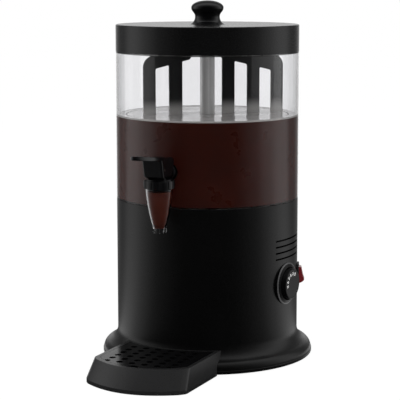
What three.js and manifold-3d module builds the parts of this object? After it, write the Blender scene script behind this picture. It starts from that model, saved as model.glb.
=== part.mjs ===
// Hot chocolate dispenser: a clear round container with a turning agitator and a self-closing tap stands on a
// drum-shaped base with a water pan, heater, geared motor, thermostat and switch, with a drip tray in front.
// Millimetres, +Z up, front towards -Y. Heights are above the table. The drum's axis lies behind the origin,
// which is the middle of the whole machine's footprint.
import * as THREE from "three";
import Module from "manifold-3d";
import { mergeVertices } from "three/addons/utils/BufferGeometryUtils.js";

const wasm = await Module();
wasm.setup();

// Driving sizes
const bodyRadius = 120.2;
const flareReach = 19.8;
const seamHeight = 208.7;
const lidBottomHeight = 400.6;
const lidDepth = 35.2;
const trayLength = 121.8;
const tapWallDistance = 23.8;

// Clearances
const seatGap = 0.3;
const runGap = 0.4;
const overrun = 2;
const mergeTolerance = 0.0001;

// Base housing
const housingWall = 2.8;
const rimBandHeight = 5.5;
const rimLedge = 0.7;
const rimLift = 1.2;
const flareTopHeight = 34;
const flareFilletShare = 0.636;
const ledgeDepth = 3.4;
const ledgeWidth = 7;
const ledgeThickness = 2.5;
const bossRadius = 6.5;
const bossTopHeight = 56;
const bossHoleRadius = 1.8;
const bossHoleDepth = 16;
const footInset = 28;
const footCount = 4;

// Vents in the drum, above the dial
const ventCount = 4;
const ventPitch = 8;
const ventHeight = 2.2;
const ventTopDrop = 47.7;
const ventStart = THREE.MathUtils.degToRad(71.5);
const ventEnd = THREE.MathUtils.degToRad(119);

// Bottom plate, feet and their screws
const plateBottomHeight = 4;
const plateThickness = 1.5;
const plateEdgeGap = 1.6;
const plateSlotCount = 8;
const plateSlotWidth = 5;
const plateSlotInner = 34;
const plateSlotOuter = 62;
const footRadius = 11;
const footTaper = 1.2;
const screwHeadRadius = 3.4;
const screwHeadHeight = 1.5;
const screwRadius = 1.4;
const screwLength = 14;
const footPocketRadius = 4.2;
const footFloor = 1.4;
const screwCrownShare = 0.8;

// Water pan, its turret, bush and heater
const panInset = 13.2;
const panDepth = 58;
const panSheet = 1;
const turretRadius = 9;
const turretBore = 7.6;
const turretHeight = 48;
const turretFlangeRadius = 13;
const bushFlangeRadius = 8.8;
const bushFlange = 1.5;
const bushLength = 12;
const heaterRingRadius = 66;
const heaterTubeRadius = 4;
const heaterSweep = THREE.MathUtils.degToRad(318);
const heaterLegDrop = 22;

// Geared motor and bracket
const bracketDrop = 43.1;
const bracketSheet = 2;
const bracketHalfSpan = 64;
const bracketWidth = 44;
const bracketFoot = 16;
const bracketHoleRadius = 9.5;
const gearboxLength = 74;
const gearboxWidth = 50;
const gearboxHeight = 26;
const gearboxCorner = 7;
const outputRadius = 3.5;
const outputLength = 16;
const motorRadius = 25;
const motorFloorGap = 19.4;
const motorCapRadius = 9;
const motorCapLength = 5;
const motorEdge = 2;

// Drive shaft
const shaftRadius = 4;
const couplingRadius = 8;
const couplingLift = 2.5;
const couplingLength = 18;
const couplingBoreDepth = 12;
const couplingEdge = 2;
const squareHalf = 2.7;
const squareLength = 11;

// Container
const containerWall = 3;
const containerFloor = 4;
const containerFillet = 5;
const neckStep = 3.2;
const neckWall = 2.6;
const neckHeight = 11.5;
const neckRampHeight = 1.6;
const spigotGap = 2.5;
const spigotWall = 2.5;
const spigotDepth = 9;
const bottomEdge = 0.8;

// Centre column with its seal and nut
const columnRadius = 9.7;
const columnBore = 5.6;
const columnDrop = 4.6;
const columnFlangeRadius = 16;
const columnFlange = 3;
const columnFlangeEdge = 1;
const columnStubRadius = 7.4;
const columnNutRadius = 12.5;
const columnNutHeight = 5;
const columnSealThickness = 1.5;
const columnStubDepth = 7.5;

// Agitator: flat comb, tines given as distances from the axis
const combThickness = 4;
const combFloorGap = 4;
const combBarHeight = 9;
const combTopDrop = 1.1;
const combWallGap = 11.2;
const combCornerRadius = 15.5;
const combEdgeDrop = 3.6;
const combTurn = THREE.MathUtils.degToRad(42);
const combWindowRadius = 3.5;
const railThickness = 3.4;
const railSlopeShare = 0.244;
const rightWindowShares = [[0.351, 0.5225], [0.682, 0.8405]];
const rightInnerShare = 0.1925;
const leftWindowShares = [0.603, 0.814];
const leftInnerShare = 0.3995;
const leftSetback = 18.9;
const leftStepStart = 25;
const leftStepEnd = 20;
const hubRadius = 15;
const hubHeight = 16;
const hubRoof = 4;
const hubEdge = 2;

// Drink
const drinkDepth = 106.4;
const drinkSkin = 2.4;

// Lid, knob and knob screw
const lidWall = 2.8;
const lidTopThickness = 2.6;
const lidEdge = 1.6;
const knobBaseRadius = 23.5;
const knobNeckRadius = 16.3;
const knobRadius = 21.3;
const knobNeckHeight = 9.6;
const knobWaistHeight = 21.3;
const knobHeight = 30.9;
const knobFootSpread = 2;
const knobBoreRadius = 2.8;
const knobBoreDepth = 15;
const knobScrewRadius = 2.4;
const knobScrewLength = 15;
const knobScrewHeadRadius = 5;
const knobScrewHeadHeight = 2.6;

// Tap body, collar and spout; depths are measured from the tap's own axis
const collarRise = 39.7;
const collarHeight = 10.4;
const collarRadius = 19.7;
const collarRibCount = 12;
const collarRibDepth = 0.5;
const plugRadius = 15;
const plugDepth = 12.4;
const shoulderRadius = 17.4;
const shoulderThickness = 1;
const barrelRadius = 9.5;
const barrelHeight = 13.4;
const barrelBore = 6.5;
const barrelRoof = 2.3;
const seatFloor = 2.6;
const seatHoleRadius = 3.8;
const shankRise = 6.6;
const shankRadius = 6.4;
const shankBore = 3.9;
const shankInside = 9.5;
const shankFlangeRadius = 10;
const gasketRadius = 9.5;
const gasketThickness = 1.6;
const tapNutRadius = 10.5;
const tapNutLength = 5;
const spoutTopRadius = 17.4;
const spoutWall = 1.9;
const spoutBottomRadius = 9.3;
const spoutConeHeight = 48;
const spoutSocket = 3.4;
const spoutBulgeShare = 0.66;
const outletRadius = 8.7;
const outletHeight = 8;
const outletNotchCount = 4;
const outletNotchWidth = 5;
const outletNotchHeight = 5.5;

// Tap lever, pin, plunger, seal and spring
const pinOffset = 11;
const pinRise = 13.6;
const pinRadius = 1.8;
const lugRadius = 4.5;
const lugHalfWidth = 10.4;
const leverSwingAngle = THREE.MathUtils.degToRad(20);
const cheekThickness = 2.7;
const leverGap = 3.6;
const leverInsideHeight = 18;
const leverRoof = 6;
const leverFrontDepth = 20;
const leverFrontFoot = 16;
const leverFrontWall = 1.8;
const leverBackDepth = 16.5;
const leverBackFoot = 9;
const leverBackDrop = 4;
const tabReach = 70;
const tabHalfWidth = 13.5;
const tabThickness = 4;
const tabBackDepth = 8;
const tabRootRise = 2.5;
const tabRise = 8;
const dishDepth = 2.6;
const dishRim = 2.2;
const forkThickness = 1.9;
const forkRise = 1.6;
const forkFront = 3;
const forkBack = 0.5;
const forkGapHalf = 2.2;
const stemRadius = 1.5;
const stemHeadRadius = 3.6;
const stemHeadThickness = 1.4;
const stemHeadGap = 0.5;
const pistonRadius = 5.6;
const pistonThickness = 2;
const sealThickness = 3;
const springRadius = 4.3;
const springWire = 0.55;
const springTurns = 5;

// Dial, on the drum's right side
const dialAngle = THREE.MathUtils.degToRad(83.7);
const dialDrop = 106;
const bezelRadius = 27.5;
const bezelBore = 21.4;
const bezelProud = 3.2;
const bezelSkirt = 6;
const dialRadius = 20.8;
const dialFaceRadius = 19.6;
const dialProud = 8.8;
const dialLift = 0.9;
const dialEdge = 1.2;
const spindleRadius = 3;
const spindleLength = 9.4;
const spindleInside = 10;
const thermostatSide = 30;
const thermostatDepth = 26;
const thermostatNeckRadius = 4.7;

// Rocker switch, behind the dial
const switchAngle = THREE.MathUtils.degToRad(110);
const switchDrop = 104.2;
const frameWidth = 22;
const frameTall = 30.4;
const frameProud = 2.4;
const frameSkirt = 4;
const frameCorner = 2;
const switchBodyWidth = 18.8;
const switchBodyTall = 27.8;
const switchBodyDepth = 22;
const rockerPivot = 0.3;
const rockerRadius = 11.4;
const rockerWidth = 14.8;
const rockerLowAngle = THREE.MathUtils.degToRad(-35);
const rockerHighAngle = THREE.MathUtils.degToRad(62);
const rockerBackAngle = THREE.MathUtils.degToRad(104);
const rockerValley = 7.2;
const rockerPinRadius = 1.5;
const rockerPinLength = 0.8;
const switchFloor = 3;

// Cable gland at the back
const glandHeight = 50;
const glandRadius = 6.5;
const glandBore = 3.4;
const glandFlangeRadius = 10;
const glandFlange = 3;
const glandDomeRadius = 7.5;
const glandDome = 6;
const glandTaper = 1;
const glandInside = 9;
const glandNutRadius = 9.5;
const glandNut = 4;

// Drip tray and grid; reaches are measured from the drum's axis
const trayHeight = 28;
const trayLip = 5;
const trayTopHalf = 65.5;
const trayBottomHalf = 69;
const trayCornerSetback = 27;
const trayFrontSetback = 16;
const trayCornerRound = 6;
const trayBowSteps = 8;
const trayGap = 0.5;
const trayWall = 2.6;
const trayFloor = 3;
const trayRim = 5;
const gridThickness = 3;
const gridLedge = 3.5;
const gridColumns = 6;
const gridRows = 6;
const gridPitch = 17.3;
const gridHoleRadius = 4.3;
const gridRearMargin = 8.5;
const gridFrontMargin = 16.5;
const gridNotchRadius = 8;

// Facets round a full turn
const drumFacets = 32;
const partFacets = 18;
const smallFacets = 10;
const screwFacets = 6;
const nutSides = 6;
const tubeSides = 6;
const springSides = 5;
const ventSteps = 4;
const heaterSteps = 26;
const springSteps = 6;

// Heights and places that follow from the sizes above
const rimRadius = bodyRadius + flareReach;
const drumInner = bodyRadius - housingWall;
const trayReach = bodyRadius + trayLength;
const tapReach = bodyRadius + tapWallDistance;
const axisY = (trayReach - rimRadius) / 2;
const footCircle = rimRadius - footInset;
const panRadius = bodyRadius - panInset;
const spigotRadius = panRadius - spigotGap;
const lidTopHeight = lidBottomHeight + lidDepth;
const ledgeHeight = seamHeight - ledgeDepth;
const panFloorHeight = ledgeHeight + seatGap - panDepth;
const turretTopHeight = panFloorHeight + turretHeight;
const containerBottomHeight = seamHeight + seatGap;
const containerFloorHeight = containerBottomHeight + containerFloor;
const containerInner = bodyRadius - containerWall;
const shoulderHeight = lidBottomHeight - seatGap;
const ventTopHeight = seamHeight - ventTopDrop;
const dialHeight = seamHeight - dialDrop;
const switchHeight = seamHeight - switchDrop;
const bracketTopHeight = panFloorHeight - bracketDrop;
const couplingBottomHeight = bracketTopHeight + couplingLift;
const columnTopHeight = lidBottomHeight - columnDrop;
const combBottomHeight = containerFloorHeight + combFloorGap;
const combTopHeight = lidBottomHeight - combTopDrop;
const railInnerHeight = combTopHeight - railThickness;
const combCornerHeight = combTopHeight - combEdgeDrop - combCornerRadius;
const combOuter = containerInner - combWallGap;
const leftOuter = combOuter - leftSetback;
const rightInner = combOuter * rightInnerShare;
const leftInner = leftOuter * leftInnerShare;
const drinkTopHeight = containerFloorHeight + drinkDepth;
const collarTopHeight = seamHeight + collarRise;
const plateTopHeight = plateBottomHeight + plateThickness;
const collarBottomHeight = collarTopHeight - collarHeight;
const spoutConeBottomHeight = collarBottomHeight - spoutConeHeight;
const barrelTopHeight = collarTopHeight + barrelHeight;
const shankHeight = collarTopHeight + shankRise;
const pinHeight = collarTopHeight + pinRise;
const leverBottomHeight = collarTopHeight + leverGap;
const leverUnderside = leverBottomHeight + leverInsideHeight;
const leverTopHeight = leverUnderside + leverRoof;
const stemHeadHeight = barrelTopHeight + forkRise + forkThickness + stemHeadGap;
const leverLeanShare = (leverFrontDepth - leverFrontFoot) / (leverTopHeight - leverBottomHeight);

function evenly(count) {
  return Array.from({ length: count }, (_, index) => index);
}

// A closed geometry as a solid for joining and cutting
function solid(geometry) {
  const bare = geometry.clone();
  bare.deleteAttribute("normal");
  bare.deleteAttribute("uv");
  const merged = mergeVertices(bare, mergeTolerance);
  const vertProperties = merged.attributes.position.array;
  const triVerts = new Uint32Array(merged.index.array);
  return new wasm.Manifold(new wasm.Mesh({ numProp: 3, vertProperties, triVerts }));
}

// A solid back as a geometry with flat-shaded faces
function geometryOf(made) {
  const mesh = made.getMesh();
  const geometry = new THREE.BufferGeometry();
  geometry.setAttribute("position", new THREE.BufferAttribute(new Float32Array(mesh.vertProperties), 3));
  geometry.setIndex(new THREE.BufferAttribute(new Uint32Array(mesh.triVerts), 1));
  const flat = geometry.toNonIndexed();
  flat.computeVertexNormals();
  return flat;
}

function cut(base, ...tools) {
  return geometryOf(tools.reduce((left, tool) => left.subtract(solid(tool)), solid(base)));
}

function join(base, ...pieces) {
  return geometryOf(pieces.reduce((sum, piece) => sum.add(solid(piece)), solid(base)));
}

// A closed profile of [radius, height] pairs turned about the upright axis, whichever way round it is written
function turned(profile, facets = partFacets) {
  const points = profile.map(([radius, height]) => new THREE.Vector2(radius, height));
  if (THREE.ShapeUtils.area(points) < 0) points.reverse();
  points.push(points[0].clone());
  return new THREE.LatheGeometry(points, facets).rotateX(Math.PI / 2);
}

// A profile that starts and ends on the axis, turned about it
function turnedSolid(profile, facets = partFacets) {
  const points = profile.map(([radius, height]) => new THREE.Vector2(radius, height));
  return new THREE.LatheGeometry(points, facets).rotateX(Math.PI / 2);
}

function rod(radius, low, high, facets = smallFacets) {
  return turnedSolid([[0, low], [radius, low], [radius, high], [0, high]], facets);
}

function tube(inner, outer, low, high, facets = partFacets) {
  return turned([[inner, low], [outer, low], [outer, high], [inner, high]], facets);
}

function block(lowX, highX, lowY, highY, lowZ, highZ) {
  const geometry = new THREE.BoxGeometry(highX - lowX, highY - lowY, highZ - lowZ);
  return geometry.translate((lowX + highX) / 2, (lowY + highY) / 2, (lowZ + highZ) / 2);
}

// A flat outline raised from a height to another
function raised(shape, low, high, curveSegments = smallFacets) {
  const settings = { depth: high - low, bevelEnabled: false, curveSegments };
  return new THREE.ExtrudeGeometry(shape, settings).translate(0, 0, low);
}

// An outline drawn in the upright plane across the machine, or along it, given a thickness about that plane
function crossPlate(shape, thickness, curveSegments = smallFacets) {
  const settings = { depth: thickness, bevelEnabled: false, curveSegments };
  return new THREE.ExtrudeGeometry(shape, settings).translate(0, 0, -thickness / 2).rotateX(Math.PI / 2);
}

function sidePlate(shape, lowX, highX, curveSegments = smallFacets) {
  const settings = { depth: highX - lowX, bevelEnabled: false, curveSegments };
  const plate = new THREE.ExtrudeGeometry(shape, settings).translate(0, 0, lowX);
  return plate.rotateX(Math.PI / 2).rotateZ(Math.PI / 2);
}

function outline(points) {
  return new THREE.Shape(points.map(([x, y]) => new THREE.Vector2(x, y)));
}

// A piece built with its height as the distance from the drum's axis, set on the drum at an angle and a height
function onDrum(geometry, angle, height) {
  return geometry.rotateX(Math.PI / 2).translate(0, 0, height).rotateZ(angle);
}

function roundedRectangle(width, depth, corner) {
  const halfWidth = width / 2;
  const halfDepth = depth / 2;
  const shape = new THREE.Shape();
  shape.moveTo(corner - halfWidth, -halfDepth);
  shape.absarc(halfWidth - corner, corner - halfDepth, corner, -Math.PI / 2, 0);
  shape.absarc(halfWidth - corner, halfDepth - corner, corner, 0, Math.PI / 2);
  shape.absarc(corner - halfWidth, halfDepth - corner, corner, Math.PI / 2, Math.PI);
  shape.absarc(corner - halfWidth, corner - halfDepth, corner, Math.PI, Math.PI * 1.5);
  return shape;
}

// How far out a flat face may stand inside the drum's faceted wall
function flatInside(wallRadius, halfWidth) {
  const inradius = wallRadius * Math.cos(Math.PI / drumFacets);
  return Math.sqrt(inradius ** 2 - halfWidth ** 2) - seatGap;
}

function polygon(radius, sides) {
  const corners = evenly(sides).map((index) => (index * 2 * Math.PI) / sides);
  return outline(corners.map((angle) => [radius * Math.cos(angle), radius * Math.sin(angle)]));
}

// A round bar that follows a curve
function tubeAlong(extrudePath, radius, sides, steps) {
  const settings = { steps, bevelEnabled: false, extrudePath };
  return geometryOf(solid(new THREE.ExtrudeGeometry(polygon(radius, sides), settings)));
}

function part(name, geometry, colour, roughness, metalness = 0, opacity = 1) {
  const material = new THREE.MeshStandardMaterial({ color: colour, roughness, metalness });
  material.opacity = opacity;
  material.transparent = opacity < 1;
  const mesh = new THREE.Mesh(geometry, material);
  mesh.name = name;
  return mesh;
}

const satinBlack = ["#141414", 0.42];
const glossBlack = ["#0a0a0a", 0.16];
const mattBlack = ["#1c1c1c", 0.6];
const rubber = ["#202020", 0.85];
const silicone = ["#e6e2dc", 0.6];
const steel = ["#c9c9c7", 0.25, 1];
const zinc = ["#a9acad", 0.45, 1];
const clear = ["#eef1f2", 0.05, 0, 0.3];
const chocolate = ["#3a1a10", 0.3];

const footAngles = evenly(footCount).map((index) => ((index + 0.5) * 2 * Math.PI) / footCount);

function atFoot(geometry, angle) {
  return geometry.translate(footCircle * Math.cos(angle), footCircle * Math.sin(angle), 0);
}

// The foot flare is two arcs that meet in an S: a bulge above the rim band and a fillet into the drum.
// The offset moves the whole curve inwards, or outwards where it is negative.
function flareCurve(offset, steps = 3) {
  const width = rimRadius - rimLedge - bodyRadius;
  const height = flareTopHeight - rimBandHeight;
  const sweep = 2 * Math.atan(width / height);
  const sum = height / Math.sin(sweep);
  const fillet = flareFilletShare * sum;
  const bulge = sum - fillet;
  const bulgeArc = evenly(steps + 1).map((index) => {
    const angle = (sweep * index) / steps;
    return [
      rimRadius - rimLedge - bulge + (bulge - offset) * Math.cos(angle),
      rimBandHeight + (bulge - offset) * Math.sin(angle),
    ];
  });
  const filletArc = evenly(steps).map((index) => {
    const angle = sweep * (1 - (index + 1) / steps);
    return [
      bodyRadius + fillet - (fillet + offset) * Math.cos(angle),
      flareTopHeight - (fillet + offset) * Math.sin(angle),
    ];
  });
  return [...bulgeArc, ...filletArc];
}

function ventSlot(height) {
  const inner = drumInner - overrun;
  const outer = bodyRadius + overrun;
  const turn = -Math.PI / 2;
  const shape = new THREE.Shape();
  shape.absarc(0, 0, outer, turn + ventStart, turn + ventEnd, false);
  shape.absarc(0, 0, inner, turn + ventEnd, turn + ventStart, true);
  return raised(shape, height - ventHeight / 2, height + ventHeight / 2, ventSteps);
}

function baseHousing() {
  const profile = [
    [rimRadius - housingWall, rimLift],
    [rimRadius - rimLedge, rimLift],
    [rimRadius, rimLift + rimLedge],
    [rimRadius, rimBandHeight - rimLedge],
    ...flareCurve(0),
    [bodyRadius, seamHeight],
    [drumInner, seamHeight],
    [drumInner, ledgeHeight],
    [drumInner - ledgeWidth, ledgeHeight],
    [drumInner - ledgeWidth, ledgeHeight - ledgeThickness],
    [drumInner, ledgeHeight - ledgeThickness - ledgeWidth],
    ...flareCurve(housingWall, 2).reverse(),
  ];
  const shell = turned(profile, drumFacets);
  const bosses = footAngles.map((angle) =>
    atFoot(rod(bossRadius, plateTopHeight + seatGap, bossTopHeight), angle),
  );
  const holeBottom = plateTopHeight - overrun;
  const bossHoles = footAngles.map((angle) =>
    atFoot(rod(bossHoleRadius, holeBottom, plateTopHeight + bossHoleDepth, screwFacets), angle),
  );
  const vents = evenly(ventCount).map((index) => ventSlot(ventTopHeight - index * ventPitch));
  const wallStart = drumInner - overrun * 2;
  const wallEnd = bodyRadius + overrun;
  const dialHole = onDrum(rod(thermostatNeckRadius + seatGap, wallStart, wallEnd), dialAngle, dialHeight);
  const switchHole = onDrum(
    block(
      -switchBodyWidth / 2 - seatGap, switchBodyWidth / 2 + seatGap,
      -switchBodyTall / 2 - seatGap, switchBodyTall / 2 + seatGap,
      wallStart, wallEnd,
    ),
    switchAngle,
    switchHeight,
  );
  const glandHole = onDrum(rod(glandRadius + seatGap, wallStart, wallEnd, partFacets), Math.PI, glandHeight);
  return cut(join(shell, ...bosses), ...bossHoles, ...vents, dialHole, switchHole, glandHole);
}

function bottomPlate() {
  const radius = rimRadius - housingWall - plateEdgeGap;
  const disc = rod(radius, plateBottomHeight, plateTopHeight, partFacets * 1.5);
  const holes = footAngles.map((angle) =>
    atFoot(rod(screwRadius + seatGap, plateBottomHeight - overrun, plateTopHeight + overrun), angle),
  );
  const slots = evenly(plateSlotCount).map((index) =>
    block(
      plateSlotInner, plateSlotOuter,
      -plateSlotWidth / 2, plateSlotWidth / 2,
      plateBottomHeight - overrun, plateTopHeight + overrun,
    ).rotateZ((index * 2 * Math.PI) / plateSlotCount),
  );
  return cut(disc, ...holes, ...slots);
}

function foot(angle) {
  const top = plateBottomHeight - seatGap;
  const pad = turned([
    [screwRadius + seatGap, footFloor + screwHeadHeight],
    [footPocketRadius, footFloor + screwHeadHeight],
    [footPocketRadius, 0],
    [footRadius - footTaper, 0],
    [footRadius, top],
    [screwRadius + seatGap, top],
  ], smallFacets);
  return atFoot(pad, angle);
}

function footScrew(angle) {
  const seat = footFloor + screwHeadHeight - seatGap;
  const screw = turnedSolid([
    [0, seat - screwHeadHeight],
    [screwHeadRadius * screwCrownShare, seat - screwHeadHeight],
    [screwHeadRadius, seat - screwHeadHeight / 2],
    [screwHeadRadius, seat],
    [screwRadius, seat],
    [screwRadius, seat + screwLength],
    [0, seat + screwLength + screwRadius],
  ], screwFacets);
  return atFoot(screw, angle);
}

function waterPan() {
  const flangeRadius = drumInner - seatGap;
  const flangeBottom = ledgeHeight + seatGap;
  return turned([
    [turretRadius + seatGap, panFloorHeight],
    [panRadius - panSheet * 2, panFloorHeight],
    [panRadius, panFloorHeight + panSheet * 2],
    [panRadius, flangeBottom],
    [flangeRadius, flangeBottom],
    [flangeRadius, flangeBottom + panSheet],
    [panRadius - panSheet, flangeBottom + panSheet],
    [panRadius - panSheet, panFloorHeight + panSheet],
    [turretRadius + seatGap, panFloorHeight + panSheet],
  ], drumFacets);
}

// The tube that keeps the water off the shaft, with a flange that rests on the pan's floor
function panTurret() {
  const flangeBottom = panFloorHeight + panSheet + seatGap;
  return turned([
    [turretBore, panFloorHeight],
    [turretRadius, panFloorHeight],
    [turretRadius, flangeBottom],
    [turretFlangeRadius, flangeBottom],
    [turretFlangeRadius, flangeBottom + panSheet],
    [turretRadius, flangeBottom + panSheet],
    [turretRadius, turretTopHeight],
    [turretBore, turretTopHeight],
  ]);
}

function shaftBush() {
  const flangeBottom = turretTopHeight + seatGap;
  return turned([
    [shaftRadius + runGap, flangeBottom - bushLength],
    [turretBore - seatGap, flangeBottom - bushLength],
    [turretBore - seatGap, flangeBottom],
    [bushFlangeRadius, flangeBottom],
    [bushFlangeRadius, flangeBottom + bushFlange],
    [shaftRadius + runGap, flangeBottom + bushFlange],
  ], smallFacets);
}

// An open ring of tube under the pan, with both ends turned down as terminals
class HeaterPath extends THREE.Curve {
  getPoint(share, target = new THREE.Vector3()) {
    const legShare = heaterLegDrop / (heaterRingRadius * heaterSweep + 2 * heaterLegDrop);
    const ringHeight = panFloorHeight - seatGap - heaterTubeRadius;
    const along = (share - legShare) / (1 - 2 * legShare);
    const turn = THREE.MathUtils.clamp(along, 0, 1);
    const drop = Math.max(0, legShare - share, share - 1 + legShare) / legShare;
    const angle = Math.PI / 2 + (Math.PI * 2 - heaterSweep) / 2 + turn * heaterSweep;
    return target.set(
      heaterRingRadius * Math.cos(angle),
      heaterRingRadius * Math.sin(angle),
      ringHeight - drop * heaterLegDrop,
    );
  }
}

function heater() {
  return tubeAlong(new HeaterPath(), heaterTubeRadius, tubeSides, heaterSteps);
}

function motorBracket() {
  const half = bracketWidth / 2;
  const top = bracketTopHeight;
  const foundation = plateTopHeight + seatGap;
  const profile = outline([
    [-bracketHalfSpan - bracketFoot, foundation],
    [-bracketHalfSpan, foundation],
    [-bracketHalfSpan, top - bracketSheet],
    [bracketHalfSpan, top - bracketSheet],
    [bracketHalfSpan, foundation],
    [bracketHalfSpan + bracketFoot, foundation],
    [bracketHalfSpan + bracketFoot, foundation + bracketSheet],
    [bracketHalfSpan + bracketSheet, foundation + bracketSheet],
    [bracketHalfSpan + bracketSheet, top],
    [-bracketHalfSpan - bracketSheet, top],
    [-bracketHalfSpan - bracketSheet, foundation + bracketSheet],
    [-bracketHalfSpan - bracketFoot, foundation + bracketSheet],
  ]);
  const bridge = crossPlate(profile, half * 2);
  return cut(bridge, rod(bracketHoleRadius, top - bracketSheet - overrun, top + overrun, partFacets));
}

function gearbox() {
  const top = bracketTopHeight - bracketSheet - seatGap;
  const plan = roundedRectangle(gearboxLength, gearboxWidth, gearboxCorner);
  const shell = raised(plan, top - gearboxHeight, top, 3);
  return join(shell, rod(outputRadius, top - overrun, top + outputLength));
}

function driveMotor() {
  const top = bracketTopHeight - bracketSheet - gearboxHeight - seatGap * 2;
  const bottom = plateTopHeight + motorFloorGap + motorCapLength;
  return turnedSolid([
    [0, bottom - motorCapLength],
    [motorCapRadius, bottom - motorCapLength],
    [motorCapRadius, bottom],
    [motorRadius - motorEdge, bottom],
    [motorRadius, bottom + motorEdge],
    [motorRadius, top],
    [0, top],
  ]);
}

function driveShaft() {
  const boreTop = couplingBottomHeight + couplingBoreDepth;
  const couplingTop = couplingBottomHeight + couplingLength;
  const squareBottom = columnTopHeight + seatGap;
  const shaft = turnedSolid([
    [0, boreTop],
    [outputRadius + seatGap, boreTop],
    [outputRadius + seatGap, couplingBottomHeight],
    [couplingRadius, couplingBottomHeight],
    [couplingRadius, couplingTop - couplingEdge],
    [couplingRadius - couplingEdge, couplingTop],
    [shaftRadius, couplingTop],
    [shaftRadius, squareBottom - overrun],
    [0, squareBottom - overrun],
  ], smallFacets);
  const tip = block(
    -squareHalf, squareHalf, -squareHalf, squareHalf, squareBottom - overrun * 2, squareBottom + squareLength,
  );
  return join(shaft, tip);
}

function container() {
  const rampBottom = shoulderHeight - neckRampHeight;
  const neckOuter = bodyRadius - neckStep;
  const neckInner = neckOuter - neckWall;
  const holeRadius = columnStubRadius + seatGap;
  const vessel = turned([
    [holeRadius, containerBottomHeight],
    [spigotRadius - spigotWall, containerBottomHeight],
    [spigotRadius - spigotWall, containerBottomHeight - spigotDepth],
    [spigotRadius, containerBottomHeight - spigotDepth],
    [spigotRadius, containerBottomHeight],
    [bodyRadius - bottomEdge, containerBottomHeight],
    [bodyRadius, containerBottomHeight + bottomEdge],
    [bodyRadius, shoulderHeight],
    [neckOuter, shoulderHeight],
    [neckOuter, shoulderHeight + neckHeight],
    [neckInner, shoulderHeight + neckHeight],
    [neckInner, rampBottom],
    [containerInner, rampBottom - (containerInner - neckInner)],
    [containerInner, containerFloorHeight + containerFillet],
    [containerInner - containerFillet, containerFloorHeight],
    [holeRadius, containerFloorHeight],
  ], drumFacets);
  const shankHole = onDrum(
    rod(shankRadius + seatGap, containerInner - overrun, bodyRadius + overrun), 0, shankHeight,
  );
  return cut(vessel, shankHole);
}

function centreColumn() {
  const flangeBottom = containerFloorHeight + seatGap;
  return turned([
    [columnBore, containerBottomHeight - columnStubDepth],
    [columnStubRadius, containerBottomHeight - columnStubDepth],
    [columnStubRadius, flangeBottom],
    [columnFlangeRadius, flangeBottom],
    [columnFlangeRadius, flangeBottom + columnFlangeEdge],
    [columnRadius, flangeBottom + columnFlange],
    [columnRadius, columnTopHeight],
    [columnBore, columnTopHeight],
  ]);
}

function columnSeal() {
  const top = containerBottomHeight - seatGap;
  return tube(columnStubRadius + seatGap, columnNutRadius, top - columnSealThickness, top);
}

function columnNut() {
  const top = containerBottomHeight - columnSealThickness - seatGap * 2;
  const body = raised(polygon(columnNutRadius, nutSides), top - columnNutHeight, top);
  const bore = rod(columnStubRadius + seatGap, top - columnNutHeight - overrun, top + overrun, partFacets);
  return cut(body, bore);
}

// Height of the rails' sloping lower edge at a distance from the axis
function railHeight(distance) {
  return railInnerHeight - railSlopeShare * distance;
}

function combWindow(shares, reach, side, thickness) {
  const [inner, outer] = shares.map((share) => share * reach);
  const bottom = combBottomHeight + combBarHeight;
  const path = new THREE.Shape();
  const radius = combWindowRadius;
  const ends = [inner, outer].map((distance) => ({ x: side * distance, top: railHeight(distance) }));
  path.moveTo(ends[0].x, bottom);
  path.lineTo(ends[0].x, ends[0].top - radius);
  path.quadraticCurveTo(ends[0].x, ends[0].top, ends[0].x + side * radius, railHeight(inner + radius));
  path.lineTo(ends[1].x - side * radius, railHeight(outer - radius));
  path.quadraticCurveTo(ends[1].x, ends[1].top, ends[1].x, ends[1].top - radius);
  path.lineTo(ends[1].x, bottom);
  return crossPlate(path, thickness + overrun, 6);
}

function rightWing(thickness) {
  const wing = new THREE.Shape();
  wing.moveTo(0, combTopHeight);
  wing.lineTo(columnRadius + runGap, columnTopHeight + seatGap);
  wing.lineTo(rightInner, railHeight(rightInner));
  wing.lineTo(rightInner, combBottomHeight);
  wing.lineTo(combOuter, combBottomHeight);
  wing.lineTo(combOuter, combCornerHeight);
  wing.absarc(combOuter - combCornerRadius, combCornerHeight, combCornerRadius, 0, Math.PI / 2);
  const windows = rightWindowShares.map((shares) => combWindow(shares, combOuter, 1, thickness));
  return cut(crossPlate(wing, thickness, 6), ...windows);
}

function leftWing(thickness) {
  const wing = new THREE.Shape();
  wing.moveTo(0, combTopHeight);
  wing.lineTo(combCornerRadius - leftOuter, combCornerHeight + combCornerRadius);
  wing.absarc(combCornerRadius - leftOuter, combCornerHeight, combCornerRadius, Math.PI / 2, Math.PI);
  wing.lineTo(-leftOuter, combBottomHeight);
  wing.lineTo(-leftInner, combBottomHeight);
  wing.lineTo(-leftInner, railHeight(leftInner));
  wing.lineTo(-leftStepStart, railHeight(leftStepStart));
  wing.lineTo(-leftStepEnd, columnTopHeight + seatGap);
  wing.lineTo(0, columnTopHeight + seatGap);
  return cut(crossPlate(wing, thickness, 6), combWindow(leftWindowShares, leftOuter, -1, thickness));
}

function agitator() {
  const bottom = columnTopHeight + seatGap;
  const hub = turnedSolid([
    [0, bottom],
    [hubRadius, bottom],
    [hubRadius, bottom + hubHeight - hubEdge],
    [hubRadius - hubEdge, bottom + hubHeight],
    [0, bottom + hubHeight],
  ]);
  const socketHalf = squareHalf + seatGap;
  const roof = bottom + hubHeight - hubRoof;
  const socket = block(-socketHalf, socketHalf, -socketHalf, socketHalf, bottom - overrun, roof);
  const wings = join(rightWing(combThickness), leftWing(combThickness)).rotateZ(combTurn);
  return cut(join(hub, wings), socket);
}

// How large a ring's corners must be for its faces to keep clear of a radius
function clearOf(radius, facets) {
  return radius / Math.cos(Math.PI / facets);
}

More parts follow.
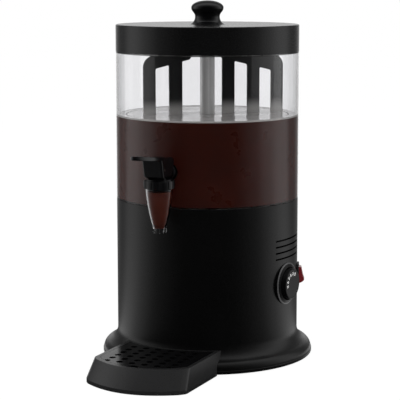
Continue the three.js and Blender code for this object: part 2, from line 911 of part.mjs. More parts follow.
// The slot that a wing's tines need in the drink: the wing grown by a gap on every side
function wingSlot(wing) {
  const copies = [-seatGap, seatGap].map((x) => wing(combThickness + seatGap * 2).translate(x, 0, 0));
  return join(...copies).rotateZ(combTurn);
}

// The drink next to the wall and under the comb stays still
function stillDrink() {
  const outer = containerInner - seatGap;
  const inner = clearOf(combOuter + runGap * 2, drumFacets);
  const floor = containerFloorHeight + seatGap;
  const core = columnFlangeRadius + seatGap;
  const ring = turned([
    [core, floor],
    [outer - containerFillet, floor],
    [outer, floor + containerFillet],
    [outer, drinkTopHeight],
    [inner, drinkTopHeight],
    [inner, combBottomHeight - runGap],
    [core, combBottomHeight - runGap],
  ], drumFacets);
  const nutOuter = flatInside(containerInner, tapNutRadius);
  const nutRoom = rod(tapNutRadius + runGap, nutOuter - tapNutLength - seatGap, bodyRadius, partFacets);
  const shankRoom = rod(shankRadius + seatGap, combOuter - overrun, bodyRadius, partFacets);
  return cut(ring, onDrum(nutRoom, 0, shankHeight), onDrum(shankRoom, 0, shankHeight));
}

// The drink's surface between the comb's tines turns with them
function turningDrink() {
  const inner = clearOf(columnRadius + runGap, drumFacets);
  const skin = tube(inner, combOuter, drinkTopHeight - drinkSkin, drinkTopHeight, drumFacets);
  return cut(skin, wingSlot(rightWing), wingSlot(leftWing));
}

function lid() {
  const inner = bodyRadius - lidWall;
  const holeRadius = knobScrewRadius + seatGap;
  const ceiling = lidTopHeight - lidTopThickness;
  return turned([
    [holeRadius, ceiling],
    [inner - lidEdge, ceiling],
    [inner, ceiling - lidEdge],
    [inner, lidBottomHeight],
    [bodyRadius, lidBottomHeight],
    [bodyRadius, lidTopHeight - lidEdge],
    [bodyRadius - lidEdge, lidTopHeight],
    [holeRadius, lidTopHeight],
  ], drumFacets);
}

function lidKnob() {
  const base = lidTopHeight + seatGap;
  const neck = new THREE.CubicBezierCurve(
    new THREE.Vector2(knobBaseRadius, base),
    new THREE.Vector2(knobNeckRadius + knobFootSpread, base + knobFootSpread),
    new THREE.Vector2(knobNeckRadius, base + knobNeckHeight / 2),
    new THREE.Vector2(knobNeckRadius, base + knobNeckHeight),
  );
  const swell = new THREE.CubicBezierCurve(
    new THREE.Vector2(knobNeckRadius, base + knobNeckHeight),
    new THREE.Vector2(knobNeckRadius, base + (knobNeckHeight + knobWaistHeight) / 2),
    new THREE.Vector2(knobRadius, base + (knobNeckHeight + knobWaistHeight) / 2),
    new THREE.Vector2(knobRadius, base + knobWaistHeight),
  );
  const domeRise = knobHeight - knobWaistHeight;
  const dome = new THREE.EllipseCurve(0, base + knobWaistHeight, knobRadius, domeRise, 0, Math.PI / 2);
  const curves = [neck.getPoints(4), swell.getPoints(4).slice(1), dome.getPoints(5).slice(1, -1)].flat();
  return turnedSolid([
    [0, base + knobBoreDepth],
    [knobBoreRadius, base + knobBoreDepth],
    [knobBoreRadius, base],
    ...curves.map((point) => [point.x, point.y]),
    [0, base + knobHeight],
  ]);
}

function knobScrew() {
  const seat = lidTopHeight - lidTopThickness - seatGap;
  return turnedSolid([
    [0, seat - knobScrewHeadHeight],
    [knobScrewHeadRadius * screwCrownShare, seat - knobScrewHeadHeight],
    [knobScrewHeadRadius, seat - knobScrewHeadHeight / 2],
    [knobScrewHeadRadius, seat],
    [knobScrewRadius, seat],
    [knobScrewRadius, seat + knobScrewLength],
    [0, seat + knobScrewLength],
  ], smallFacets);
}

// The tap's pieces are built about its own upright axis, front towards -Y

function shankRod(radius, start, end, facets = smallFacets) {
  return rod(radius, start, end, facets).rotateX(-Math.PI / 2).translate(0, 0, shankHeight);
}

// The lug's front slopes so that the lever's front wall, swung right down, still passes it
function pinLug() {
  const base = collarTopHeight + seatGap;
  const lean = Math.atan(leverLeanShare) + leverSwingAngle;
  const touchY = -pinOffset - lugRadius * Math.cos(lean);
  const touchZ = pinHeight - lugRadius * Math.sin(lean);
  const shape = new THREE.Shape();
  shape.moveTo(lugRadius - pinOffset, base);
  shape.lineTo(lugRadius - pinOffset, pinHeight);
  shape.absarc(-pinOffset, pinHeight, lugRadius, 0, Math.PI + lean);
  shape.lineTo(touchY + (touchZ - base) * Math.tan(lean), base);
  return sidePlate(shape, -lugHalfWidth, lugHalfWidth);
}

function tapBody() {
  const shoulderBottom = collarTopHeight + seatGap;
  const plugBottom = collarTopHeight - plugDepth;
  const outer = turnedSolid([
    [0, plugBottom],
    [plugRadius, plugBottom],
    [plugRadius, shoulderBottom],
    [shoulderRadius, shoulderBottom],
    [shoulderRadius, shoulderBottom + shoulderThickness],
    [barrelRadius, shoulderBottom + shoulderThickness],
    [barrelRadius, barrelTopHeight],
    [0, barrelTopHeight],
  ]);
  const wallSide = tapWallDistance - gasketThickness - seatGap * 2;
  const shank = shankRod(shankRadius, barrelRadius - overrun, tapWallDistance + containerWall + shankInside);
  const flange = shankRod(shankFlangeRadius, collarRadius + runGap, wallSide, partFacets);
  const chamber = rod(barrelBore, plugBottom + seatFloor, barrelTopHeight - barrelRoof);
  const seatHole = rod(seatHoleRadius, plugBottom - overrun, plugBottom + seatFloor + overrun);
  const stemHole = rod(stemRadius + runGap, barrelTopHeight - barrelRoof - overrun, barrelTopHeight + overrun);
  const shankHole = shankRod(shankBore, 0, tapWallDistance + containerWall + shankInside + overrun);
  const pinHole = rod(pinRadius + seatGap, -lugHalfWidth - overrun, lugHalfWidth + overrun)
    .rotateY(Math.PI / 2)
    .translate(0, -pinOffset, pinHeight);
  return cut(join(outer, shank, flange, pinLug()), chamber, seatHole, stemHole, shankHole, pinHole);
}

// A ring round the shank, trimmed to the curve of the container's wall
function tapGasket() {
  const end = tapWallDistance + overrun;
  const ring = cut(
    shankRod(gasketRadius, tapWallDistance - gasketThickness - seatGap, end, partFacets),
    shankRod(shankRadius + seatGap, 0, end + overrun, partFacets),
  );
  const reach = gasketRadius + overrun;
  const wall = rod(bodyRadius + seatGap, shankHeight - reach, shankHeight + reach, drumFacets);
  return cut(ring, wall.translate(0, tapReach, 0));
}

function tapNut() {
  const start = tapReach - flatInside(containerInner, tapNutRadius);
  const nut = raised(polygon(tapNutRadius, nutSides), start, start + tapNutLength)
    .rotateX(-Math.PI / 2)
    .translate(0, 0, shankHeight);
  return cut(nut, shankRod(shankRadius + seatGap, start - overrun, start + tapNutLength + overrun, partFacets));
}

function tapCollar() {
  const socketTop = collarBottomHeight + spoutSocket + seatGap;
  const ring = turned([
    [spoutTopRadius + seatGap, collarBottomHeight],
    [collarRadius - collarRibDepth, collarBottomHeight],
    [collarRadius, collarBottomHeight + collarRibDepth],
    [collarRadius, collarTopHeight - collarRibDepth],
    [collarRadius - collarRibDepth, collarTopHeight],
    [plugRadius + seatGap, collarTopHeight],
    [plugRadius + seatGap, socketTop],
    [spoutTopRadius + seatGap, socketTop],
  ], collarRibCount * 2);
  const grooves = evenly(collarRibCount).map((index) =>
    block(
      -collarRibDepth, collarRibDepth,
      -collarRadius - overrun, -collarRadius + collarRibDepth,
      collarBottomHeight + overrun, collarTopHeight - overrun,
    ).rotateZ((index * 2 * Math.PI) / collarRibCount),
  );
  return cut(ring, ...grooves);
}

function tapSpout() {
  const top = collarBottomHeight + spoutSocket;
  const outletBottom = spoutConeBottomHeight - outletHeight;
  const middle = (spoutConeBottomHeight + collarBottomHeight) / 2;
  const middleRadius = spoutBottomRadius + (spoutTopRadius - spoutBottomRadius) * spoutBulgeShare;
  const tubeShape = turned([
    [outletRadius - spoutWall, outletBottom],
    [outletRadius, outletBottom],
    [outletRadius, spoutConeBottomHeight],
    [spoutBottomRadius, spoutConeBottomHeight],
    [middleRadius, middle],
    [spoutTopRadius, collarBottomHeight],
    [spoutTopRadius, top],
    [spoutTopRadius - spoutWall, top],
    [spoutTopRadius - spoutWall, collarBottomHeight],
    [middleRadius - spoutWall, middle],
    [outletRadius - spoutWall, spoutConeBottomHeight],
  ]);
  const notches = evenly(outletNotchCount).map((index) =>
    block(
      -outletNotchWidth / 2, outletNotchWidth / 2,
      0, outletRadius + overrun,
      outletBottom - overrun, outletBottom + outletNotchHeight,
    ).rotateZ(((index + 0.5) * 2 * Math.PI) / outletNotchCount),
  );
  return cut(tubeShape, ...notches);
}

// Thumb tab: an oval blade that rises towards its rounded tip, with a shallow dish in its top
function leverTab() {
  const length = tabReach - leverFrontDepth;
  const tip = leverTopHeight + tabRise;
  const root = leverTopHeight + tabRootRise;
  const oval = new THREE.Shape();
  oval.moveTo(-tabHalfWidth, -tabBackDepth);
  oval.lineTo(-tabHalfWidth, -leverFrontDepth);
  oval.absellipse(0, -leverFrontDepth, tabHalfWidth, length, Math.PI, 2 * Math.PI);
  oval.lineTo(tabHalfWidth, -tabBackDepth);
  const blade = raised(oval, leverUnderside, tip + overrun);
  const slope = outline([
    [overrun - tabBackDepth, leverTopHeight - tabThickness / 2],
    [-tabBackDepth, leverTopHeight],
    [-leverFrontDepth, root],
    [-tabReach, tip],
    [-tabReach - overrun, tip],
    [-tabReach - overrun, tip - tabThickness / 2],
    [-leverFrontDepth, root - tabThickness],
  ]);
  const band = sidePlate(slope, -tabHalfWidth - overrun, tabHalfWidth + overrun);
  const made = solid(blade).intersect(solid(band));
  const dish = new THREE.SphereGeometry(1, partFacets, smallFacets)
    .rotateX(Math.PI / 2)
    .scale(tabHalfWidth - dishRim, (tabReach - leverFrontDepth) / 2 - dishRim, dishDepth)
    .rotateX(-Math.atan((tip - root) / length))
    .translate(0, -(tabReach + leverFrontDepth) / 2 + dishRim, (root + tip) / 2);
  return geometryOf(made.subtract(solid(dish)));
}

// A cap over the tap's lug, closed in front and open below and behind
function tapLever() {
  const outer = lugHalfWidth + runGap + cheekThickness;
  const inner = lugHalfWidth + runGap;
  const frontFoot = leverFrontWall - leverFrontFoot;
  const frontInside = (height) => frontFoot - leverLeanShare * (height - leverBottomHeight);
  const cap = sidePlate(outline([
    [-leverFrontFoot, leverBottomHeight],
    [leverBackFoot, leverBottomHeight],
    [leverBackDepth, leverTopHeight - leverBackDrop],
    [leverBackDepth - leverBackDrop, leverTopHeight],
    [-leverFrontDepth, leverTopHeight],
  ]), -outer, outer);
  const cavity = sidePlate(outline([
    [frontInside(leverBottomHeight - overrun), leverBottomHeight - overrun],
    [leverBackDepth + overrun, leverBottomHeight - overrun],
    [leverBackDepth + overrun, leverUnderside],
    [frontInside(leverUnderside), leverUnderside],
  ]), -inner, inner);
  const forkBottom = barrelTopHeight + forkRise;
  const prongs = [-1, 1].map((side) =>
    block(
      side > 0 ? forkGapHalf : -inner - cheekThickness / 2,
      side > 0 ? inner + cheekThickness / 2 : -forkGapHalf,
      -forkFront, forkBack,
      forkBottom, forkBottom + forkThickness,
    ),
  );
  const pinHole = rod(pinRadius + seatGap, -outer - overrun, outer + overrun)
    .rotateY(Math.PI / 2)
    .translate(0, -pinOffset, pinHeight);
  return cut(join(cut(cap, cavity), leverTab(), ...prongs), pinHole);
}

function leverPin() {
  const half = lugHalfWidth + runGap + cheekThickness - seatGap;
  return rod(pinRadius, -half, half).rotateY(Math.PI / 2).translate(0, -pinOffset, pinHeight);
}

const seatTopHeight = collarTopHeight - plugDepth + seatFloor;
const pistonBottomHeight = seatTopHeight + sealThickness + seatGap * 2;
const pistonTopHeight = pistonBottomHeight + pistonThickness;

function tapPlunger() {
  return turnedSolid([
    [0, pistonBottomHeight],
    [pistonRadius, pistonBottomHeight],
    [pistonRadius, pistonTopHeight],
    [stemRadius, pistonTopHeight],
    [stemRadius, stemHeadHeight],
    [stemHeadRadius, stemHeadHeight],
    [stemHeadRadius, stemHeadHeight + stemHeadThickness],
    [0, stemHeadHeight + stemHeadThickness],
  ], smallFacets);
}

function tapSeal() {
  const bottom = seatTopHeight + seatGap;
  return turnedSolid([
    [0, bottom],
    [pistonRadius - seatGap, bottom],
    [pistonRadius, bottom + sealThickness / 2],
    [pistonRadius, bottom + sealThickness],
    [0, bottom + sealThickness],
  ], smallFacets);
}

class SpringPath extends THREE.Curve {
  getPoint(share, target = new THREE.Vector3()) {
    const low = pistonTopHeight + springWire + seatGap;
    const high = barrelTopHeight - barrelRoof - springWire - seatGap;
    const angle = share * springTurns * 2 * Math.PI;
    const height = low + (high - low) * share;
    return target.set(springRadius * Math.cos(angle), springRadius * Math.sin(angle), height);
  }
}

function tapSpring() {
  return tubeAlong(new SpringPath(), springWire, springSides, springTurns * springSteps);
}

// The drum grown by a clearance about a height: what the backs of the fittings on it are cut to
function drumTool(height, halfSpan) {
  return rod(bodyRadius + seatGap, height - halfSpan - overrun, height + halfSpan + overrun, drumFacets * 2);
}

function dialBezel() {
  const back = bodyRadius - bezelSkirt;
  const face = bodyRadius + bezelProud;
  const ring = onDrum(turned([
    [bezelBore, back],
    [bezelRadius, back],
    [bezelRadius, face - dialEdge],
    [bezelRadius - dialEdge, face],
    [bezelBore, face],
  ], partFacets), dialAngle, dialHeight);
  return cut(ring, drumTool(dialHeight, bezelRadius));
}

function dialKnob() {
  const back = bodyRadius + dialLift;
  const face = bodyRadius + dialProud;
  const knob = turnedSolid([
    [0, back],
    [dialRadius, back],
    [dialFaceRadius, face - dialEdge],
    [dialFaceRadius - dialEdge, face],
    [0, face],
  ]);
  const bore = rod(spindleRadius + seatGap, back - overrun, back + spindleLength - spindleRadius);
  return onDrum(cut(knob, bore), dialAngle, dialHeight);
}

function dialSpindle() {
  const back = drumInner - spindleInside;
  const front = bodyRadius + dialLift + spindleLength - spindleRadius - seatGap;
  return onDrum(rod(spindleRadius, back, front), dialAngle, dialHeight);
}

function thermostat() {
  const half = thermostatSide / 2;
  const front = flatInside(drumInner, half);
  const body = block(-half, half, -half, half, front - thermostatDepth, front);
  const neck = rod(thermostatNeckRadius, front - overrun, bodyRadius + seatGap);
  const bore = rod(spindleRadius + seatGap, drumInner - spindleInside - seatGap, bodyRadius + overrun);
  return onDrum(cut(join(body, neck), bore), dialAngle, dialHeight);
}

function switchFrame() {
  const face = bodyRadius + frameProud;
  const plan = roundedRectangle(frameWidth, frameTall, frameCorner);
  const flange = onDrum(raised(plan, bodyRadius - frameSkirt, face, 2), switchAngle, switchHeight);
  const trimmed = cut(flange, drumTool(switchHeight, frameTall / 2));
  const bodyHalf = switchBodyWidth / 2;
  const tallHalf = switchBodyTall / 2;
  const body = onDrum(
    block(-bodyHalf, bodyHalf, -tallHalf, tallHalf, face - switchBodyDepth, face - seatGap),
    switchAngle,
    switchHeight,
  );
  const openHalf = rockerWidth / 2 + seatGap;
  const openTall = rockerRadius + runGap;
  const well = onDrum(
    block(-openHalf, openHalf, -openTall, openTall, face - switchBodyDepth + switchFloor, face + overrun),
    switchAngle,
    switchHeight,
  );
  const pinHalf = openHalf + rockerPinLength + seatGap;
  const pinRod = rod(rockerPinRadius + seatGap, -pinHalf, pinHalf).rotateY(Math.PI / 2);
  const pinHole = onDrum(pinRod.translate(0, 0, bodyRadius + rockerPivot), switchAngle, switchHeight);
  return cut(join(trimmed, body), well, pinHole);
}

// The rocker's ends are arcs about its pivot, so they pass the frame's ends at every tilt
function switchRocker() {
  const pivot = bodyRadius + rockerPivot;
  const shape = new THREE.Shape();
  const place = (angle) => [rockerRadius * Math.sin(angle), rockerRadius * Math.cos(angle)];
  const low = place(rockerLowAngle);
  shape.moveTo(...low);
  shape.lineTo(0, rockerValley);
  shape.lineTo(...place(rockerHighAngle));
  shape.absarc(0, 0, rockerRadius, Math.PI / 2 - rockerHighAngle, Math.PI / 2 - rockerBackAngle, true);
  shape.lineTo(...place(-rockerBackAngle));
  shape.absarc(0, 0, rockerRadius, Math.PI / 2 + rockerBackAngle, Math.PI / 2 - rockerLowAngle, true);
  const half = rockerWidth / 2;
  const body = sidePlate(shape, -half, half, 6);
  const trunnion = rod(rockerPinRadius, -half - rockerPinLength, half + rockerPinLength).rotateY(Math.PI / 2);
  return onDrum(join(body, trunnion).translate(0, 0, pivot), switchAngle, switchHeight);
}

function cableGland() {
  const wall = bodyRadius + seatGap;
  const inside = drumInner - seatGap - glandInside;
  const sleeve = turned([
    [glandBore, inside],
    [glandRadius, inside],
    [glandRadius, wall],
    [glandFlangeRadius, wall],
    [glandFlangeRadius, wall + glandFlange],
    [glandDomeRadius, wall + glandFlange],
    [glandDomeRadius - glandTaper, wall + glandFlange + glandDome],
    [glandBore, wall + glandFlange + glandDome],
  ], smallFacets);
  return onDrum(sleeve, Math.PI, glandHeight);
}

function glandLockNut() {
  const outer = flatInside(drumInner, glandNutRadius);
  const nut = raised(polygon(glandNutRadius, nutSides), outer - glandNut, outer);
  const bore = rod(glandRadius + seatGap, outer - glandNut - overrun, outer + overrun, partFacets);
  return onDrum(cut(nut, bore), Math.PI, glandHeight);
}

// Plan outline of the tray: straight sides and a bowed front with rounded corners, inset all round
function trayOutline(halfWidth, apex, inset) {
  const half = halfWidth - inset;
  const apexY = apex - inset;
  const cornerY = apexY - trayCornerSetback;
  const roundShare = trayCornerRound / half;
  const bow = (share) => -(cornerY + (apexY - cornerY) * (1 - share * share));
  const startShare = 1 - roundShare;
  const back = overrun - Math.sqrt(bodyRadius ** 2 - trayBottomHalf ** 2);
  const shape = new THREE.Shape();
  shape.moveTo(-half, back);
  shape.lineTo(-half, trayCornerRound - cornerY);
  shape.quadraticCurveTo(-half, bow(1), -half * startShare, bow(startShare));
  evenly(trayBowSteps + 1).slice(1).forEach((index) => {
    const share = startShare * (-1 + (2 * index) / trayBowSteps);
    shape.lineTo(half * share, bow(share));
  });
  shape.quadraticCurveTo(half, bow(1), half, trayCornerRound - cornerY);
  shape.lineTo(half, back);
  return shape.getPoints(4);
}

// A closed skin over flat rings of equal point count, lowest first
function loft(rings, heights) {
  const count = rings[0].length;
  const positions = [];
  const index = [];
  rings.forEach((ring, level) => ring.forEach((point) => positions.push(point.x, point.y, heights[level])));
  for (let level = 0; level < rings.length - 1; level += 1) {
    for (let step = 0; step < count; step += 1) {
      const next = (step + 1) % count;
      const low = level * count;
      const high = low + count;
      index.push(low + step, low + next, high + next, low + step, high + next, high + step);
    }
  }
  const lowCap = THREE.ShapeUtils.triangulateShape(rings[0], []);
  const highCap = THREE.ShapeUtils.triangulateShape(rings[rings.length - 1], []);
  const top = (rings.length - 1) * count;
  lowCap.forEach(([a, b, c]) => index.push(c, b, a));
  highCap.forEach(([a, b, c]) => index.push(top + a, top + b, top + c));
  const geometry = new THREE.BufferGeometry();
  geometry.setAttribute("position", new THREE.Float32BufferAttribute(positions, 3));
  geometry.setIndex(index);
  return geometry;
}

// The base's flare grown by a clearance: what the tray's back is cut to
function flareTool(clearance) {
  const top = Math.max(trayHeight, flareTopHeight) + overrun;
  return turnedSolid([
    [0, -overrun],
    [rimRadius + clearance, -overrun],
    [rimRadius + clearance, rimBandHeight],
    ...flareCurve(-clearance).slice(1),
    [bodyRadius + clearance, top],
    [0, top],
  ], drumFacets);
}

const trayApexTop = trayReach - trayFrontSetback;

function dripTray() {
  const bottom = trayOutline(trayBottomHalf, trayReach, 0);
  const rim = trayOutline(trayTopHalf, trayApexTop, 0);
  const body = loft([bottom, bottom, rim], [0, trayLip, trayHeight]);
  const ledge = trayHeight - gridThickness - seatGap;
  const recess = trayOutline(trayTopHalf, trayApexTop, trayRim);
  const recessTool = cut(
    loft([recess, recess], [ledge, trayHeight + overrun]), flareTool(trayGap + trayWall),
  );
  const mouth = trayOutline(trayTopHalf, trayApexTop, trayRim + gridLedge);
  const basinTool = cut(loft([mouth, mouth], [trayFloor, trayHeight]), flareTool(trayGap + trayWall));
  return cut(body, flareTool(trayGap), recessTool, basinTool);
}

function dripGrid() {
  const low = trayHeight - gridThickness;
  const edge = trayOutline(trayTopHalf, trayApexTop, trayRim + seatGap);
  const plate = cut(loft([edge, edge], [low, trayHeight]), flareTool(trayGap + trayWall + seatGap));
  const rear = bodyRadius + trayGap + trayWall + gridRearMargin;
  const front = trayApexTop - trayRim - gridFrontMargin;
  const rowPitch = (front - rear) / (gridRows - 1);
  const holes = evenly(gridRows * gridColumns).map((index) => {
    const column = index % gridColumns;
    const row = Math.floor(index / gridColumns);
    const x = (column - (gridColumns - 1) / 2) * gridPitch;
    return rod(gridHoleRadius, low - overrun, trayHeight + overrun, 8).translate(x, -rear - row * rowPitch, 0);
  });
  const notch = rod(gridNotchRadius, low - overrun, trayHeight + overrun, partFacets)
    .translate(0, -trayApexTop + trayRim, 0);
  return cut(plate, ...holes, notch);
}

function buildBase() {
  const base = new THREE.Group();
  base.add(
    part("base_housing", baseHousing(), ...satinBlack),
    part("bottom_plate", bottomPlate(), ...zinc),
    part("water_pan", waterPan(), ...steel),
    part("pan_turret", panTurret(), ...steel),
    part("shaft_bush", shaftBush(), "#b08d4a", 0.35, 1),
    part("heating_element", heater(), ...zinc),
    part("motor_bracket", motorBracket(), ...zinc),
    part("gearbox", gearbox(), ...zinc),
    part("drive_motor", driveMotor(), ...zinc),
    part("dial_bezel", dialBezel(), "#3a3a3a", 0.35),
    part("thermostat", thermostat(), ...zinc),
    part("switch_frame", switchFrame(), ...mattBlack),
    part("cable_gland", cableGland(), ...mattBlack),
    part("gland_nut", glandLockNut(), ...mattBlack),
  );
  footAngles.forEach((angle, index) => {
    base.add(part(`foot_${index + 1}`, foot(angle), ...rubber));
    base.add(part(`foot_screw_${index + 1}`, footScrew(angle), ...zinc));
  });
  return base;
}

function buildControls() {
  const controls = new THREE.Group();
  controls.add(
    part("dial_knob", dialKnob(), ...glossBlack),
    part("dial_spindle", dialSpindle(), ...steel),
    part("switch_rocker", switchRocker(), "#8a2426", 0.25),
  );
  return controls;
}

function buildContainer() {
  const vessel = new THREE.Group();
  vessel.add(
    part("container", container(), ...clear),
    part("centre_column", centreColumn(), ...steel),
    part("column_seal", columnSeal(), ...silicone),
    part("column_nut", columnNut(), ...mattBlack),
    part("drive_shaft", driveShaft(), ...steel),
    part("agitator", agitator(), ...mattBlack),
    part("drink_core", turningDrink(), ...chocolate),
    part("drink_rim", stillDrink(), ...chocolate),
    part("lid", lid(), ...satinBlack),
    part("lid_knob", lidKnob(), ...glossBlack),
    part("knob_screw", knobScrew(), ...steel),
  );
  return vessel;
}

function buildTap() {
  const tap = new THREE.Group();
  tap.position.y = -tapReach;
  tap.add(
    part("tap_body", tapBody(), ...glossBlack),
    part("tap_gasket", tapGasket(), ...silicone),
    part("tap_nut", tapNut(), ...mattBlack),
    part("tap_collar", tapCollar(), ...glossBlack),
    part("tap_spout", tapSpout(), ...clear),
    part("tap_lever", tapLever(), ...glossBlack),
    part("lever_pin", leverPin(), ...steel),
    part("tap_plunger", tapPlunger(), ...steel),
    part("tap_seal", tapSeal(), ...silicone),
    part("tap_spring", tapSpring(), ...steel),
  );
  return tap;
}

function buildTray() {
  const tray = new THREE.Group();
  tray.add(part("drip_tray", dripTray(), ...satinBlack), part("drip_grid", dripGrid(), ...glossBlack));
  return tray;
}

const machine = new THREE.Group();
machine.position.y = axisY;
machine.add(buildBase(), buildControls(), buildContainer(), buildTap(), buildTray());

const dispenser = new THREE.Group();
dispenser.add(machine);

export default dispenser;
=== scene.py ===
"""Hot chocolate dispenser: a heated black base with dial and switch, a clear container with its agitator, a lid,
a lever tap with its spout, and a drip tray. Sizes in the classes are millimetres; Blender's are metres."""

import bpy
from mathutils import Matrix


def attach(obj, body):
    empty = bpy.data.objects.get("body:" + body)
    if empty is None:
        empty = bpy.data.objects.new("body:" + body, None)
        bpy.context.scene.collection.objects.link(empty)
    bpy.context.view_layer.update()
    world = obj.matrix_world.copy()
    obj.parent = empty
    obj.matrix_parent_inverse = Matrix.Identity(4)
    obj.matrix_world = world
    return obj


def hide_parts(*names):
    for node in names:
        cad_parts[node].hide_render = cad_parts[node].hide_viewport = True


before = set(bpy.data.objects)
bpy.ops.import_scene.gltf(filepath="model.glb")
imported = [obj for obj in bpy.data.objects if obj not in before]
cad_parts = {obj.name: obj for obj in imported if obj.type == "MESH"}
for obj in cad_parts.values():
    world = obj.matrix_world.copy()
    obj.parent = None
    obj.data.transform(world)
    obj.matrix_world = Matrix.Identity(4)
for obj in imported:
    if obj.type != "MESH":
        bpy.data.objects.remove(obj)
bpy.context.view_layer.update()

import logging
import math
from dataclasses import dataclass
from enum import Enum
from typing import ClassVar, Sequence

import bpy
from mathutils import Matrix, Vector

Pair = tuple[float, float]
Profile = list[Pair]
Point = tuple[float, float, float]
Piece = bpy.types.Object
Tree = bpy.types.NodeTree
Node = bpy.types.Node
Socket = bpy.types.NodeSocket

MM = 0.001
AXIS_Y = 51.0
SHANK_HEIGHT = 255.0
SHANK_HOLE = 6.7
DRUM_FACETS = 160
ROUND_FACETS = 72
ROD_FACETS = 48
FINE_FACETS = 32
PIN_FACETS = 24

log = logging.getLogger("dispenser")


class Body(Enum):
    """The bodies that pieces ride on."""

    BASE = "base"
    SHAFT = "drive_shaft"
    CONTAINER = "container"
    AGITATOR = "agitator"
    LID = "lid"
    LEVER = "tap_lever"
    TRAY = "drip_tray"
    GRID = "drip_grid"
    DIAL = "dial"
    ROCKER = "rocker"


class Workbench:
    """Blender's modelling operators, wrapped for this machine's turned, raised and cut pieces."""

    @staticmethod
    def clear_selection() -> None:
        """Leaves nothing selected."""
        if bpy.context.object and bpy.context.object.mode != "OBJECT":
            bpy.ops.object.mode_set(mode="OBJECT")
        bpy.ops.object.select_all(action="DESELECT")

    @classmethod
    def only(cls, *pieces: Piece) -> None:
        """Selects some objects and makes the first active.

        Args:
            *pieces: The objects to work on.
        """
        cls.clear_selection()
        for piece in pieces:
            piece.select_set(True)
        bpy.context.view_layer.objects.active = pieces[0]

    @staticmethod
    def edit_all() -> None:
        """Opens the active mesh with all of it selected."""
        bpy.ops.object.mode_set(mode="EDIT")
        bpy.ops.mesh.select_all(action="SELECT")

    @staticmethod
    def seal() -> None:
        """Merges what lies together, turns all faces outwards and goes back to object mode."""
        bpy.ops.mesh.select_all(action="SELECT")
        bpy.ops.mesh.remove_doubles(threshold=MM / 500)
        bpy.ops.mesh.normals_make_consistent(inside=False)
        bpy.ops.object.mode_set(mode="OBJECT")

    @classmethod
    def chain(cls, name: str, points: Sequence[Point], filled: bool = False) -> Piece:
        """Extrudes one vertex from point to point.

        Args:
            name: The new object's name.
            points: The places to pass, in millimetres; the chain closes if the last is the first again.
            filled: Whether the closed chain gets a face.

        Returns:
            The chain, left in object mode with its origin at the world's.
        """
        places = [Vector(point) * MM for point in points]
        cls.clear_selection()
        bpy.ops.mesh.primitive_plane_add(size=MM, location=places[0])
        piece = bpy.context.object
        piece.name = piece.data.name = name
        bpy.ops.object.transform_apply(location=True, rotation=False, scale=False)
        bpy.ops.object.mode_set(mode="EDIT")
        bpy.ops.mesh.select_mode(type="VERT")
        bpy.ops.mesh.select_all(action="SELECT")
        bpy.ops.mesh.merge(type="CENTER")
        for here, there in zip(places, places[1:]):
            bpy.ops.mesh.extrude_vertices_move(TRANSFORM_OT_translate={"value": there - here})
        bpy.ops.mesh.select_all(action="SELECT")
        if (places[0] - places[-1]).length < MM / 100:
            bpy.ops.mesh.remove_doubles(threshold=MM / 1000)
        if filled:
            bpy.ops.mesh.edge_face_add()
        bpy.ops.object.mode_set(mode="OBJECT")
        return piece

    @classmethod
    def turned(
        cls, name: str, profile: Profile, facets: int = DRUM_FACETS, closed: bool = True, centre_y: float = AXIS_Y
    ) -> Piece:
        """Spins a profile round an upright axis.

        Args:
            name: The new object's name.
            profile: Radius and height pairs, in millimetres.
            facets: Faces round the full turn.
            closed: Whether the profile's last point joins its first; otherwise both lie on the axis.
            centre_y: The axis's place along Y.

        Returns:
            The turned piece, smooth shaded.
        """
        rim = braced(profile + profile[:1] if closed else profile)
        piece = cls.chain(name, [(radius, centre_y, height) for radius, height in rim])
        cls.edit_all()
        bpy.ops.mesh.spin(steps=facets, angle=2 * math.pi, center=(0, centre_y * MM, 0), axis=(0, 0, 1))
        cls.seal()
        return cls.smooth(piece)

    @classmethod
    def rod(
        cls, radius: float, start: float, end: float, facets: int = FINE_FACETS, centre_y: float = 0,
        name: str = "tool",
    ) -> Piece:
        """Turns a plain upright bar.

        Args:
            radius: Its radius.
            start: Its bottom.
            end: Its top.
            facets: Faces round it.
            centre_y: Its axis's place along Y.
            name: The new object's name.

        Returns:
            The closed bar.
        """
        return cls.turned(name, [(0, start), (radius, start), (radius, end), (0, end)], facets, False, centre_y)

    @classmethod
    def extruded(cls, name: str, outline: Sequence[Point], along: Point) -> Piece:
        """Fills an outline and extrudes it to a solid.

        Args:
            name: The new object's name.
            outline: The corners in turn, in millimetres, without the first again at the end.
            along: How far the face is drawn out, in millimetres.

        Returns:
            The closed solid.
        """
        piece = cls.chain(name, [*outline, outline[0]], filled=True)
        cls.edit_all()
        bpy.ops.mesh.extrude_region_move(TRANSFORM_OT_translate={"value": Vector(along) * MM})
        cls.seal()
        return piece

    @classmethod
    def block(cls, x: Pair, y: Pair, z: Pair) -> Piece:
        """Makes a box.

        Args:
            x: Its left and right.
            y: Its front and back.
            z: Its bottom and top.

        Returns:
            The closed box.
        """
        corners = [(x[0], y[0], z[0]), (x[1], y[0], z[0]), (x[1], y[1], z[0]), (x[0], y[1], z[0])]
        return cls.extruded("tool", corners, (0, 0, z[1] - z[0]))

    @classmethod
    def lofted(cls, name: str, rings: Sequence[Sequence[Point]]) -> Piece:
        """Bridges closed outlines of equal count and closes both ends.

        Args:
            name: The new object's name.
            rings: The outlines in turn, in millimetres, each without its first corner again at the end.

        Returns:
            The closed solid.
        """
        piece = cls.merge_into_one([cls.chain(name, [*ring, ring[0]]) for ring in rings])
        cls.edit_all()
        bpy.ops.mesh.bridge_edge_loops()
        bpy.ops.mesh.select_all(action="SELECT")
        bpy.ops.mesh.fill_holes(sides=0)
        cls.seal()
        return piece

